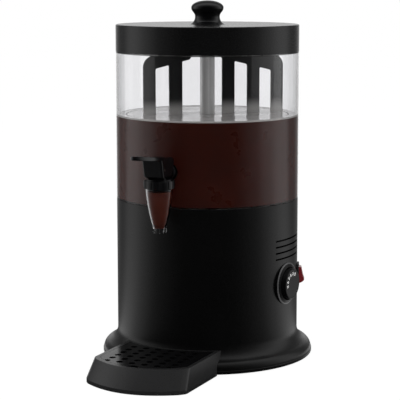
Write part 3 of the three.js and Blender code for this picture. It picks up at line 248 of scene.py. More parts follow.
    @classmethod
    def apply_modifier(cls, piece: Piece, kind: str, **settings: object) -> None:
        """Adds a modifier and applies it at once.

        Args:
            piece: The object that is changed.
            kind: The modifier's type.
            **settings: Its settings by name.
        """
        cls.only(piece)
        modifier = piece.modifiers.new(kind.lower(), kind)
        for key, value in settings.items():
            setattr(modifier, key, value)
        bpy.ops.object.modifier_apply(modifier=modifier.name)

    @classmethod
    def combine(cls, piece: Piece, *tools: Piece, operation: str = "DIFFERENCE") -> Piece:
        """Cuts or joins a piece with tools, which are used up.

        Args:
            piece: The object that is changed.
            *tools: The closed meshes that cut or join, in turn.
            operation: DIFFERENCE or UNION.

        Returns:
            The same piece.
        """
        for tool in tools:
            cls.apply_modifier(piece, "BOOLEAN", object=tool, operation=operation, solver="EXACT")
            bpy.data.objects.remove(tool)
        return piece

    @classmethod
    def merge_into_one(cls, pieces: Sequence[Piece]) -> Piece:
        """Joins several objects into the first.

        Args:
            pieces: The objects, of which the first stays.

        Returns:
            The first object, holding all the meshes.
        """
        cls.only(*pieces)
        bpy.ops.object.join()
        return pieces[0]

    @classmethod
    def round_edges(cls, piece: Piece, width: float, segments: int = 2, degrees: float = 40) -> None:
        """Bevels the sharp edges.

        Args:
            piece: The object that is changed.
            width: The bevel's width in millimetres.
            segments: Faces across the bevel.
            degrees: The least angle between faces that counts as sharp.
        """
        cls.apply_modifier(
            piece, "BEVEL", width=width * MM, segments=segments, limit_method="ANGLE",
            angle_limit=math.radians(degrees), harden_normals=False, use_clamp_overlap=True,
        )
        cls.smooth(piece)

    @classmethod
    def smooth(cls, piece: Piece, degrees: float = 35) -> Piece:
        """Shades smooth except over sharp edges.

        Args:
            piece: The object that is changed.
            degrees: The angle past which an edge stays sharp.

        Returns:
            The same piece.
        """
        cls.only(piece)
        bpy.ops.object.shade_smooth_by_angle(angle=math.radians(degrees))
        return piece

    @classmethod
    def place(cls, piece: Piece, matrix: Matrix) -> Piece:
        """Moves a piece and puts the move into its mesh.

        Args:
            piece: The object that is changed.
            matrix: Where it goes, in metres.

        Returns:
            The same piece.
        """
        cls.only(piece)
        piece.matrix_world = matrix
        bpy.ops.object.transform_apply(location=True, rotation=True, scale=True)
        return piece

    @classmethod
    def twin(cls, piece: Piece, name: str, shift: Point) -> Piece:
        """Copies a piece with a mesh of its own.

        Args:
            piece: The object to copy.
            name: The copy's name.
            shift: How far it is moved, in millimetres.

        Returns:
            The copy, with its place in its mesh.
        """
        cls.only(piece)
        bpy.ops.object.duplicate()
        copy = bpy.context.object
        copy.name = name
        return cls.place(copy, moved(*shift))


def arc(centre: Pair, radius: float, start: float, end: float, steps: int) -> Profile:
    """Points on a circle's arc.

    Args:
        centre: The circle's centre.
        radius: Its radius.
        start: The first angle in degrees.
        end: The last angle in degrees.
        steps: The chords along it.

    Returns:
        The points, both ends with them.
    """
    angles = [math.radians(start + (end - start) * step / steps) for step in range(steps + 1)]
    return [(centre[0] + radius * math.cos(angle), centre[1] + radius * math.sin(angle)) for angle in angles]


def bezier(a: Pair, b: Pair, c: Pair, d: Pair, steps: int) -> Profile:
    """Points on a cubic curve.

    Args:
        a: Its start.
        b: The start's handle.
        c: The end's handle.
        d: Its end.
        steps: The chords along it.

    Returns:
        The points, both ends with them.
    """
    return [
        tuple(
            (1 - t) ** 3 * a[i] + 3 * (1 - t) ** 2 * t * b[i] + 3 * (1 - t) * t * t * c[i] + t**3 * d[i] for i in (0, 1)
        )
        for t in (step / steps for step in range(steps + 1))
    ]


def braced(profile: Profile, reach: float = 0.8, longest: float = 6.0) -> Profile:
    """Adds points near both ends of a profile's long runs, so that smooth shading stays flat between them.

    Args:
        profile: Radius and height pairs.
        reach: How far from the ends they stand.
        longest: The longest run that is left without them.

    Returns:
        The profile with its added points.
    """
    points = [profile[0]]
    for here, there in zip(profile, profile[1:]):
        span = math.dist(here, there)
        shares = (reach / span, 1 - reach / span) if span > longest else ()
        points += [tuple(a + (b - a) * share for a, b in zip(here, there)) for share in shares]
        points.append(there)
    return points


def drawn_in(outline: Sequence[Pair], amount: float) -> Profile:
    """Draws a closed outline inwards.

    Args:
        outline: The corners, counter-clockwise.
        amount: How far each corner moves.

    Returns:
        As many corners, moved.
    """
    corners = []
    for index, (x, y) in enumerate(outline):
        before, after = outline[index - 1], outline[(index + 1) % len(outline)]
        along = (after[0] - before[0], after[1] - before[1])
        length = math.hypot(*along)
        corners.append((x - along[1] / length * amount, y + along[0] / length * amount))
    return corners


def moved(x: float, y: float, z: float) -> Matrix:
    """A move by millimetres."""
    return Matrix.Translation(Vector((x, y, z)) * MM)


def turned_by(degrees: float, axis: str = "Z") -> Matrix:
    """A turn round an axis through the origin."""
    return Matrix.Rotation(math.radians(degrees), 4, axis)


def about_drum(degrees: float) -> Matrix:
    """A turn round the machine's upright axis."""
    return moved(0, AXIS_Y, 0) @ turned_by(degrees) @ moved(0, -AXIS_Y, 0)


def on_drum(azimuth: float, height: float) -> Matrix:
    """The place on the drum's side where a fitting that was built about +Z, with its height as the distance from the
    drum's axis, is set.

    Args:
        azimuth: Degrees round from the front, towards the viewer's right.
        height: Its centre's height in millimetres.

    Returns:
        The matrix to place it by.
    """
    return moved(0, AXIS_Y, height) @ turned_by(azimuth) @ turned_by(90, "X")


def feed(tree: Tree, node: Node, inputs: dict[str | int, object]) -> None:
    """Sets or links a node's inputs.

    Args:
        tree: The nodes.
        node: The node.
        inputs: A value or a socket for each input, by name or number.
    """
    for key, value in inputs.items():
        if isinstance(value, bpy.types.NodeSocket):
            tree.links.new(value, node.inputs[key])
        else:
            node.inputs[key].default_value = value


def add_node(tree: Tree, kind: str, inputs: dict[str | int, object] | None = None, **settings: object) -> Node:
    """Adds a shader node.

    Args:
        tree: The nodes.
        kind: Its type.
        inputs: A value or a socket for each input, by name or number.
        **settings: Its own settings.

    Returns:
        The node.
    """
    node = tree.nodes.new(f"ShaderNode{kind}")
    for key, value in settings.items():
        setattr(node, key, value)
    feed(tree, node, inputs or {})
    return node


@dataclass(frozen=True)
class Finish:
    """A solid finish whose colour, roughness and relief vary by noise.

    Attributes:
        name: The material's name.
        slot: The record's slot; not used.
        colour: The middle colour, linear.
        roughness: The middle roughness.
        metallic: 1 for bare metal.
        tone_spread: How far the colour varies, as a share of itself.
        gloss_spread: How far the roughness varies.
        grain: The relief's pattern size in millimetres.
        relief: The relief's height in millimetres.
        stretch: How much the noise is pressed together along each axis.
        specular: The gloss's level.
        span: The noise values between which colour and roughness change.
        wide: The colour noise's patterns per metre and octaves.
        octaves: The relief noise's octaves.
        strength: The relief's strength.
    """

    name: str
    slot: str
    colour: Point
    roughness: float
    metallic: float = 0.0
    tone_spread: float = 0.12
    gloss_spread: float = 0.04
    grain: float = 0.6
    relief: float = 0.01
    stretch: Point = (1.0, 1.0, 1.0)
    specular: float = 0.5

    span: ClassVar[Pair] = (0.3, 0.7)
    wide: ClassVar[Pair] = (14.0, 3.0)
    octaves: ClassVar[float] = 4.0
    strength: ClassVar[float] = 0.5

    def material(self) -> bpy.types.Material:
        """Builds the material once, under a name that no packed material has.

        Returns:
            The material.
        """
        label = f"finish_{self.name}"
        made = bpy.data.materials.get(label)
        if not made:
            made = bpy.data.materials.new(label)
            made.use_nodes = True
            self.dress(made.node_tree, made.node_tree.nodes["Principled BSDF"])
        return made

    def dress(self, tree: Tree, shader: Node) -> None:
        """Drives colour, roughness and relief by noise on the piece's own coordinates.

        Args:
            tree: The material's nodes.
            shader: Its Principled node.
        """
        place = add_node(tree, "TexCoord").outputs["Object"]
        mapping = add_node(tree, "Mapping", {"Scale": self.stretch, "Vector": place}).outputs["Vector"]
        wide, fine = (
            add_node(tree, "TexNoise", {"Scale": scale, "Detail": detail, "Vector": mapping}).outputs["Fac"]
            for scale, detail in (self.wide, (1 / MM / self.grain, self.octaves)))
        tone = add_node(tree, "ValToRGB", {"Fac": wide})
        shares = (1 - self.tone_spread, 1 + self.tone_spread)
        for stop, position, share in zip(tone.color_ramp.elements, self.span, shares):
            stop.position = position
            stop.color = (*(channel * share for channel in self.colour), 1)
        gloss = add_node(tree, "MapRange", {
            "From Min": self.span[0], "From Max": self.span[1], "To Min": max(0.0, self.roughness - self.gloss_spread),
            "To Max": self.roughness + self.gloss_spread, "Value": fine})
        bump = add_node(tree, "Bump", {"Strength": self.strength, "Distance": self.relief * MM, "Height": fine})
        feed(tree, shader, {
            "Metallic": self.metallic, "Specular IOR Level": self.specular, "Base Color": tone.outputs["Color"],
            "Roughness": gloss.outputs["Result"], "Normal": bump.outputs["Normal"]})


@dataclass(frozen=True)
class DippedFinish(Finish):
    """A solid finish that a pale froth clings to up to some height.

    Attributes:
        froth: The froth's colour, linear.
        low: The height up to which it covers, in millimetres.
        high: The height where it ends, in millimetres.
    """

    froth: Point = (0.55, 0.535, 0.52)
    low: float = 322.0
    high: float = 340.0

    def dress(self, tree: Tree, shader: Node) -> None:
        """Adds the froth over the plain finish's colour.

        Args:
            tree: The material's nodes.
            shader: Its Principled node.
        """
        super().dress(tree, shader)
        plain = shader.inputs["Base Color"].links[0].from_socket
        place = add_node(tree, "TexCoord").outputs["Object"]
        height = add_node(tree, "SeparateXYZ", {"Vector": place}).outputs["Z"]
        share = add_node(tree, "MapRange", {
            "From Min": self.high * MM, "From Max": self.low * MM, "Value": height}, interpolation_type="SMOOTHSTEP")
        mix = add_node(tree, "Mix", {
            "Factor": share.outputs["Result"], 6: plain, 7: (*self.froth, 1)}, data_type="RGBA")
        feed(tree, shader, {"Base Color": mix.outputs[2]})


@dataclass(frozen=True)
class ClearFinish(Finish):
    """A clear moulded plastic that lets lamps through to what stands behind it.

    Attributes:
        ior: The index of refraction.
    """

    ior: float = 1.49

    def dress(self, tree: Tree, shader: Node) -> None:
        """Makes the plastic clear, and plain air for rays from lamps.

        Args:
            tree: The material's nodes.
            shader: Its Principled node.
        """
        super().dress(tree, shader)
        feed(tree, shader, {"Transmission Weight": 1.0, "IOR": self.ior})
        open_air = add_node(tree, "BsdfTransparent").outputs["BSDF"]
        mix = add_node(tree, "MixShader", {
            "Fac": add_node(tree, "LightPath").outputs["Is Shadow Ray"], 1: shader.outputs["BSDF"], 2: open_air})
        feed(tree, tree.nodes["Material Output"], {"Surface": mix.outputs["Shader"]})


SATIN_BLACK = Finish("satin_black", "satin_black", (0.003, 0.003, 0.0031), 0.3, grain=0.9, relief=0.012, specular=0.42)
COVER_BLACK = Finish("cover_black", "satin_black", (0.005, 0.005, 0.0052), 0.25, grain=0.9)
GLOSS_BLACK = Finish("gloss_black", "gloss_black", (0.004, 0.004, 0.0045), 0.14, grain=1.5, relief=0.004)
TRAY_BLACK = Finish("tray_black", "satin_black", (0.02, 0.02, 0.0205), 0.3, grain=0.9, relief=0.012)
GRID_BLACK = Finish(
    "grid_black", "gloss_black", (0.004, 0.004, 0.0043), 0.2, grain=1.5, relief=0.004, specular=0.2)
DIAL_BLACK = Finish(
    "dial_black", "gloss_black", (0.003, 0.003, 0.0032), 0.3, grain=1.5, relief=0.004, specular=0.2)
MATT_BLACK = Finish("matt_black", "matt_black", (0.018, 0.018, 0.019), 0.5, grain=0.5, relief=0.015)
DIPPED_BLACK = DippedFinish("dipped_black", "matt_black", (0.008, 0.008, 0.0085), 0.5, grain=0.5, relief=0.015)
# Painted highlight: a mid grey for the light band that the dial ring's sloped outer edge shows.
PAINTED_HIGHLIGHT_GREY = Finish("ring_grey", "ring_grey", (0.09, 0.09, 0.092), 0.32, grain=0.8, relief=0.005)
CLEAR = ClearFinish(
    "clear_plastic", "clear", (0.95, 0.95, 0.96), 0.012, tone_spread=0.01, gloss_spread=0.01, grain=30.0,
    relief=0.0005, specular=0.1)
DRAWN_STEEL = Finish("drawn_steel", "steel", (0.85, 0.85, 0.84), 0.2, 0.2, 0.3, 0.06, 20.0, 0.02, (12, 12, 0.05))
# Painted shade: the pan's steel is darkened almost to black so that it stands for the shade inside the housing behind
# the vents.
SHADE_DARKENED_STEEL = Finish("shade_darkened_steel", "steel", (0.05, 0.05, 0.05), 0.5, 1.0, 0.1, 0.06, 0.8)
STEEL = Finish("turned_steel", "steel", (0.6, 0.6, 0.58), 0.22, 1.0, 0.06, 0.05, 0.5, 0.004, (1, 1, 14))
PLATED = Finish("zinc_plate", "plated", (0.42, 0.43, 0.44), 0.34, 1.0, 0.12, 0.08, 0.8, 0.006)
MOTOR_CASE = Finish("motor_case", "motor_case", (0.3, 0.31, 0.32), 0.45, 0.0, 0.1, 0.06, 0.6, 0.02)
BRONZE = Finish("sintered_bronze", "bronze", (0.5, 0.33, 0.12), 0.4, 1.0, 0.15, 0.08, 0.3)
RUBBER = Finish("rubber", "rubber", (0.02, 0.02, 0.021), 0.8, grain=0.4, relief=0.03)
SILICONE = Finish("silicone", "silicone", (0.7, 0.68, 0.64), 0.5, tone_spread=0.04, grain=0.8)
ROCKER_RED = Finish("rocker_red", "rocker_red", (0.25, 0.02, 0.025), 0.2, grain=1.2, relief=0.004)
NUMBER_WHITE = Finish(
    "number_white", "number_white", (1.0, 1.0, 0.98), 0.4, tone_spread=0.05, grain=0.3, relief=0.004)
THIN_CHOCOLATE = Finish(
    "thin_chocolate", "chocolate", (0.09, 0.014, 0.005), 0.3, tone_spread=0.2, grain=30.0, relief=0.001)
CHOCOLATE = Finish("chocolate", "chocolate", (0.05, 0.005, 0.0008), 0.3, tone_spread=0.2, grain=30.0, relief=0.001)
# Painted reflection: this pale grey stands for the white surroundings mirrored in the chocolate's surface at a grazing
# view; at the wall it also stands for a line of froth.
FROTH_AND_PAINTED_REFLECTION = Finish("froth", "chocolate", (0.62, 0.6, 0.585), 0.12, gloss_spread=0.08, grain=4.0, relief=0.12)

NODE_FINISHES: dict[Finish, tuple[str, ...]] = {
    SATIN_BLACK: ("base_housing", "lid", "drip_tray"),
    GLOSS_BLACK: ("dial_knob", "lid_knob", "tap_body", "tap_collar", "tap_lever", "drip_grid"),
    MATT_BLACK: ("switch_frame", "cable_gland", "gland_nut", "column_nut", "agitator", "tap_nut"),
    # The bezel node gets the painted highlight grey; the dial's own pieces hide it.
    PAINTED_HIGHLIGHT_GREY: ("dial_bezel",),
    CLEAR: ("container", "tap_spout"),
    CHOCOLATE: ("drink_core", "drink_rim"),
    STEEL: (
        "water_pan", "pan_turret", "heating_element", "dial_spindle", "centre_column", "drive_shaft", "knob_screw",
        "lever_pin", "tap_plunger", "tap_spring",
    ),
    PLATED: ("bottom_plate", "motor_bracket", "drive_motor", "thermostat", *(f"foot_screw_{i}" for i in range(1, 5))),
    MOTOR_CASE: ("gearbox",),
    BRONZE: ("shaft_bush",),
    RUBBER: tuple(f"foot_{i}" for i in range(1, 5)),
    SILICONE: ("column_seal", "tap_gasket", "tap_seal"),
    ROCKER_RED: ("switch_rocker",),
}


@dataclass
class Assembly:
    """A group of pieces that are built, dressed and hung on their bodies together."""

    def finish(self, piece: Piece, finish: Finish, body: Body, *nodes: str) -> None:
        """Gives a piece its finish, its body and the nodes that it stands for.

        Args:
            piece: The finished mesh.
            finish: What it is made of.
            body: What it moves with.
            *nodes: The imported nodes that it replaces.
        """
        Workbench.apply_modifier(piece, "WEIGHTED_NORMAL", mode="FACE_AREA", weight=50, keep_sharp=True)
        piece.data.materials.clear()
        piece.data.materials.append(finish.material())
        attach(piece, body.value)
        if nodes:
            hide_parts(*nodes)
        log.info("%s: %d faces on %s", piece.name, len(piece.data.polygons), body.value)


@dataclass
class Housing(Assembly):
    """The base: its flared drum with vents, the feet and the heated pan.

    Attributes:
        radius: The drum's radius.
        rim: The foot's radius.
        wall: The wall's thickness.
        seam: The drum's top.
        flare_top: Where the flare ends.
        vent_heights: The vents' middle heights.
        vent_half: Half a vent's height.
        vent_sweep: The vents' first and last azimuth.
        foot_circle: The feet's distance from the axis.
        foot_azimuths: Where they stand, in degrees round from +X.
        hole_depths: From and to what distance from the axis the wall's holes are cut.
        boss: The foot bosses' radius.
        screw_hole: The radius of their screw holes.
    """

    radius: float = 120.2
    rim: float = 140.0
    wall: float = 2.8
    seam: float = 208.7
    flare_top: float = 34.0
    vent_heights: tuple[float, ...] = (161.0, 153.0, 145.0, 137.0)
    vent_half: float = 1.1
    vent_sweep: Pair = (71.5, 119.0)
    foot_circle: float = 112.0
    foot_azimuths: tuple[float, ...] = (45, 135, 225, 315)
    hole_depths: Pair = (113, 123)
    boss: float = 6.5
    screw_hole: float = 1.8

    def flare(self, offset: float, steps: int = 12) -> Profile:
        """The two arcs between the rim band and the drum.

        Args:
            offset: How far the curve is moved inwards.
            steps: The chords along each arc.

        Returns:
            The points from the bottom up.
        """
        bulge, fillet, sweep, start = 11.22, 19.6, 67.64, 5.5
        low = arc((self.rim - 0.7 - bulge, start), bulge - offset, 0, sweep, steps)
        high = arc((self.radius + fillet, self.flare_top), fillet + offset, 180 + sweep, 180, steps)
        return low + high[1:]

    def build_housing(self) -> None:
        """Turns the housing, adds the bosses and cuts the vents and the fittings' holes."""
        ledge, inner, edge = self.seam - 3.4, self.radius - self.wall, 0.3
        housing = Workbench.turned("housing", [
            (self.rim - 3.4, 1.2), (self.rim - 0.7, 1.2), *arc((self.rim - 0.7, 1.9), 0.7, -60, 0, 3),
            *arc((self.rim - 0.7, 4.8), 0.7, 0, 90, 4), *self.flare(0)[1:],
            *arc((self.radius - edge, self.seam - edge), edge, 0, 90, 4), (inner, self.seam), (inner, ledge),
            (inner - 7, ledge), (inner - 7, ledge - 2.5), (inner, ledge - 9.5), *reversed(self.flare(self.wall)),
        ])
        for azimuth in self.foot_azimuths:
            boss = self.at_foot(Workbench.rod(self.boss, 5.8, 56, centre_y=AXIS_Y), azimuth)
            Workbench.combine(housing, boss, operation="UNION")
            Workbench.combine(housing, self.at_foot(Workbench.rod(self.screw_hole, 3.5, 21.5, 12, AXIS_Y), azimuth))
        Workbench.combine(housing, *(self.vent_tool(height) for height in self.vent_heights))
        holes = (
            (Workbench.rod(5, *self.hole_depths), Controls.dial_azimuth, Controls.dial_height),
            (Workbench.block((-9.7, 9.7), (-14.2, 14.2), self.hole_depths), Controls.switch_azimuth,
             Controls.switch_height),
            (Workbench.rod(6.8, *self.hole_depths), Controls.gland_azimuth, Controls.gland_height))
        for hole, azimuth, height in holes:
            Workbench.combine(housing, Workbench.place(hole, on_drum(azimuth, height)))
        self.finish(Workbench.smooth(housing), SATIN_BLACK, Body.BASE, "base_housing")

    def at_foot(self, piece: Piece, azimuth: float) -> Piece:
        """Moves a piece from the drum's axis to a foot's place.

        Args:
            piece: The piece, built about the drum's axis.
            azimuth: Degrees round from +X.

        Returns:
            The same piece.
        """
        angle = math.radians(azimuth)
        return Workbench.place(piece, moved(self.foot_circle * math.cos(angle), self.foot_circle * math.sin(angle), 0))

    def vent_tool(self, height: float) -> Piece:
        """A curved bar that cuts one vent.

        Args:
            height: The vent's middle.

        Returns:
            The closed cutter.
        """
        low, high, (start, end) = height - self.vent_half, height + self.vent_half, self.vent_sweep
        corners = [(113, low), (124, low), (124, high), (113, high), (113, low)]
        tool = Workbench.chain("vent", [(r, AXIS_Y, z) for r, z in corners])
        Workbench.place(tool, about_drum(start - 90))
        Workbench.edit_all()
        bpy.ops.mesh.spin(steps=24, angle=math.radians(start - end), center=(0, AXIS_Y * MM, 0), axis=(0, 0, 1))
        bpy.ops.mesh.select_all(action="SELECT")
        bpy.ops.mesh.fill_holes(sides=4)
        Workbench.seal()
        return tool

    def build_pan(self) -> None:
        """Turns the pressed steel pan that holds the water, and the turret that keeps it off the shaft. The pan's steel
        is darkened almost to black as painted shade inside the housing.
        """
        flange = self.radius - self.wall - 0.3
        pan = Workbench.turned("pan", [
            (9.3, 147.6), *arc((101, 153.6), 6, -90, 0, 6), (107, 205.6), (flange, 205.6), (flange, 206.6),
            *arc((107.5, 205.1), 1.5, 90, 180, 4), (106, 153.6), *arc((101, 153.6), 5, 0, -90, 6), (9.3, 148.6),
        ])
        # The pan's near-black steel is painted shade for the inside of the housing.
        self.finish(pan, SHADE_DARKENED_STEEL, Body.BASE, "water_pan")
        turret = Workbench.turned("turret", [
            (7.6, 147.6), (9, 147.6), (9, 148.9), (13, 148.9), *arc((12.7, 149.6), 0.3, 0, 90, 2), (9.5, 149.9),
            *arc((9.5, 150.4), 0.5, -90, -180, 3), *arc((8.7, 195.3), 0.3, 0, 90, 2), (7.6, 195.6),
        ], ROUND_FACETS)
        self.finish(turret, STEEL, Body.BASE, "pan_turret")

    def build_feet(self) -> None:
        """Turns one rubber foot and copies it."""
        foot = Workbench.turned("rubber_foot_1", [
            (1.7, 2.3), (4.2, 2.3), (4.2, 0), *arc((8.8, 1), 1, -90, -6, 4), *arc((10.2, 2.9), 0.8, 0, 90, 4),
            (1.7, 3.7),
        ], ROD_FACETS)
        for index, azimuth in enumerate(self.foot_azimuths, 1):
            copy = foot if index == 4 else Workbench.twin(foot, f"rubber_foot_{index}", (0, 0, 0))
            copy.name = f"rubber_foot_{index}"
            self.finish(self.at_foot(copy, azimuth), RUBBER, Body.BASE, f"foot_{index}")

    def build(self) -> None:
        """Builds all the base's fine pieces."""
        self.build_housing()
        self.build_pan()
        self.build_feet()


@dataclass
class Vessel(Assembly):
    """The clear container, its column and the chocolate in it.

    Attributes:
        radius: Its outer radius.
        inner: Its inner radius.
        bottom: Its underside's height.
        shoulder: The height where its neck begins.
        level: The chocolate's height.
        reach: The radius within which the surface turns with the comb.
    """

    radius: float = 120.2
    inner: float = 117.2
    bottom: float = 209.0
    shoulder: float = 400.3
    level: float = 319.4
    reach: float = 107.2

    def build_container(self) -> None:
        """Turns the container with its locating spigot and neck, and drills it for the tap."""
        neck, throat, brim, edge = self.radius - 3.2, self.radius - 5.8, self.shoulder + 10.9, 0.3
        container = Workbench.turned("clear_container", [
            (7.7, self.bottom), (102, self.bottom), (102, 200), (104.5, 200), (104.5, self.bottom),
            *arc((self.radius - edge, self.bottom + edge), edge, -90, 0, 4),
            *arc((self.radius - 0.7, self.shoulder - 0.7), 0.7, 0, 90, 4), (neck, self.shoulder),
            *arc((neck - 0.6, brim), 0.6, 0, 90, 4), *arc((throat + 0.6, brim), 0.6, 90, 180, 4),
            (throat, self.shoulder - 0.4), (self.inner, self.shoulder - 1.2),
            *arc((self.inner - 5, 218), 5, 0, -90, 10), (7.7, 213),
        ])
        hole = Workbench.rod(SHANK_HOLE, 110, 124, ROUND_FACETS)
        Workbench.combine(container, Workbench.place(hole, on_drum(0, SHANK_HEIGHT)))
        self.finish(Workbench.smooth(container), CLEAR, Body.CONTAINER, "container")

    def build_column(self) -> None:
        """Turns the steel column that stands in the container's floor."""
        column = Workbench.turned("column", [
            (5.6, 201.5), (7.4, 201.5), (7.4, 213.3), (16, 213.3), *arc((15, 215.3), 1, 0, 90, 4),
            *arc((11.2, 217.8), 1.5, 270, 180, 4), *arc((8.9, 395.2), 0.8, 0, 90, 4), (5.6, 396),
        ], ROUND_FACETS)
        self.finish(column, DRAWN_STEEL, Body.CONTAINER, "centre_column")

    def build_chocolate(self) -> None:
        """Turns the still chocolate at the wall and under the comb, with a pale ring at the wall that stands for a line
        of froth and, over the rest, for a painted reflection of the white surroundings, and its room for the tap.
        """
        wall, floor, skin = self.inner + 0.04, 212.96, self.level - 2.2
        still = Workbench.turned("still_chocolate", [
            (16.3, floor), (104, floor), (110, floor - 2.8), *arc((wall - 1, floor - 1.8), 1, -90, 0, 4), (wall, skin),
            (self.reach, skin), (self.reach, 216.6), (16.3, 216.6),
        ])
        for radius, start in ((12.4, 104.0), (SHANK_HOLE, 100.0)):
            Workbench.combine(still, Workbench.place(Workbench.rod(radius, start, 124), on_drum(0, SHANK_HEIGHT)))
        self.finish(Workbench.smooth(still), CHOCOLATE, Body.CONTAINER, "drink_rim")
        rise = [
            (self.reach + (wall - self.reach) * share, self.level - 0.7 + 0.7 * math.exp(-(1 - share) * 4.5))
            for share in (1 - step / 8 for step in range(9))]
        # The ring's pale colour is froth at the wall and painted reflection of the white surroundings over the rest of
        # it.
        froth = Workbench.turned("froth_and_reflection_ring", [(self.reach, skin + 0.02), (wall, skin + 0.02), *rise])
        self.finish(froth, FROTH_AND_PAINTED_REFLECTION, Body.CONTAINER)

    def build_surface(self) -> None:
        """Turns the chocolate's surface inside the comb's reach, ripples it and cuts it free of the tines. Its pale
        grey is a painted reflection of the white surroundings seen at a grazing angle.
        """
        inner, outer, rings, room = 10.4, 105.9, 24, 2.3
        top = [(inner + (outer - inner) * (1 - step / rings), self.level - 0.8) for step in range(rings + 1)]
        surface = Workbench.turned("chocolate_surface", [(inner, self.level - 2.4), (outer, self.level - 2.4), *top])
        self.ripple(surface)
        for span in Stirrer.spans:
            slot = Workbench.block(span, (AXIS_Y - room, AXIS_Y + room), (300, 340))
            Workbench.combine(surface, Workbench.place(slot, about_drum(Stirrer.turn)))
        # The surface's pale grey is a painted reflection of the white surroundings, not the chocolate's own colour.
        self.finish(Workbench.smooth(surface), FROTH_AND_PAINTED_REFLECTION, Body.AGITATOR, "drink_core")

    def ripple(self, surface: Piece) -> None:
        """Raises waves on the chocolate's surface.

        Args:
            surface: The turned surface.
        """
        for vertex in surface.data.vertices:
            x, y, z = (value / MM for value in vertex.co)
            radius = math.hypot(x, y - AXIS_Y)
            if z > self.level - 1 and radius < 105:
                ease = min(1.0, (105 - radius) / 30, (radius - 10) / 8)
                wave = math.sin(x * 0.075 + 0.6 * math.sin(y * 0.05)) * math.cos(y * 0.06 + x * 0.018)
                vertex.co.z += wave * 0.7 * ease * MM
        surface.data.update()

    def build(self) -> None:
        """Builds the container, its column and its filling."""
        self.build_container()
        self.build_column()
        self.build_chocolate()
        self.build_surface()


@dataclass
class Stirrer(Assembly):
    """The agitator's comb and hub, and the shaft that drives it.

    Attributes:
        spans: Where the wings' tines stand along their line, the left wing's first.
        turn: The wings' turn about the machine's axis in degrees.
        bottom: The bars' underside.
        bar: The bars' height.
        top: The rails' top.
        hub: The hub's underside.
        half: Half the plate's thickness.
        rail: The rails' lower edge at the axis.
        slope: How far the rails' lower edge falls for each millimetre outwards.
    """

    spans: ClassVar[tuple[Pair, ...]] = ((-87.4, -70.6), (-52.8, -34.5), (20.1, 37.5), (55.1, 72.6), (88.8, 106.9))
    turn: ClassVar[float] = 42.0

    bottom: float = 217.0
    bar: float = 9.0
    top: float = 399.5
    hub: float = 396.3
    half: float = 2.0
    rail: float = 396.1
    slope: float = 0.244

    def rail_at(self, distance: float) -> float:
        """The height of the rails' lower edge at a distance from the axis."""
        return self.rail - self.slope * distance

    def plate(self, name: str, shape: Profile, half: float) -> Piece:
        """Extrudes a shape in the X-Z plane to both sides.

        Args:
            name: The new object's name.
            shape: The corners.
            half: Half its thickness.

        Returns:
            The closed plate.
        """
        return Workbench.extruded(name, [(x, AXIS_Y - half, z) for x, z in shape], (0, 2 * half, 0))

    def window(self, inner: float, outer: float, side: int) -> Piece:
        """A cutter for one window between two tines.

        Args:
            inner: Its near edge.
            outer: Its far edge.
            side: 1 for the right wing, -1 for the left.

        Returns:
            The closed cutter.
        """
        low, radius = self.bottom + self.bar, 3.5
        near, far, drop = self.rail_at(inner), self.rail_at(outer), self.slope * radius
        shape = [
            (inner, low),
            *bezier((inner, near - radius), (inner, near), (inner, near), (inner + radius, near - drop), 5),
            *bezier((outer - radius, far + drop), (outer, far), (outer, far), (outer, far - radius), 5), (outer, low),
        ]
        return self.plate("window", [(side * x, z) for x, z in shape], self.half + 2)

    def build_comb(self) -> None:
        """Joins the hub and the two wings, cuts the windows and the socket, and rounds the edges."""
        corner, radius = 380.4, 15.5
        right = self.plate("right_wing", [
            (0, self.top), (10.1, self.hub), (20.4, self.rail_at(20.4)), (20.4, self.bottom), (106, self.bottom),
            *arc((106 - radius, corner), radius, 0, 90, 12),
        ], self.half)
        left = self.plate("left_wing", [
            (0, self.top), *arc((radius - 87.1, corner), radius, 90, 180, 12), (-87.1, self.bottom),
            (-34.8, self.bottom), (-34.8, self.rail_at(34.8)), (-25, self.rail_at(25)), (-20, self.hub), (0, self.hub),
        ], self.half)
        Workbench.combine(right, self.window(37.2, 55.4, 1), self.window(72.3, 89.1, 1))
        Workbench.combine(left, self.window(52.5, 70.9, -1))
        for wing in (right, left):
            Workbench.round_edges(wing, 0.7)
            Workbench.place(wing, about_drum(self.turn))
        comb = Workbench.turned(
            "comb", [(0, self.hub), (15, self.hub), *arc((13, 410.3), 2, 0, 90, 5), (0, 412.3)], ROUND_FACETS, False)
        Workbench.combine(comb, right, left, operation="UNION")
        Workbench.combine(comb, Workbench.block((-3, 3), (AXIS_Y - 3, AXIS_Y + 3), (394, 408.3)))
        self.finish(Workbench.smooth(comb), DIPPED_BLACK, Body.AGITATOR, "agitator")

    def build_shaft(self) -> None:
        """Turns the drive shaft with its coupling and squares its tip."""
        half, tip = 2.7, 394.3
        shaft = Workbench.turned("shaft", [
            (0, 119), (3.8, 119), (3.8, 107), (8, 107), *arc((6, 123), 2, 0, 90, 5), (4, 125), (4, tip), (0, tip),
        ], ROD_FACETS, False)
        square = Workbench.block((-half, half), (AXIS_Y - half, AXIS_Y + half), (tip - 2, tip + 13))
        Workbench.combine(shaft, square, operation="UNION")
        self.finish(Workbench.smooth(shaft), STEEL, Body.SHAFT, "drive_shaft")

    def build(self) -> None:
        """Builds the agitator and its shaft."""
        self.build_comb()
        self.build_shaft()


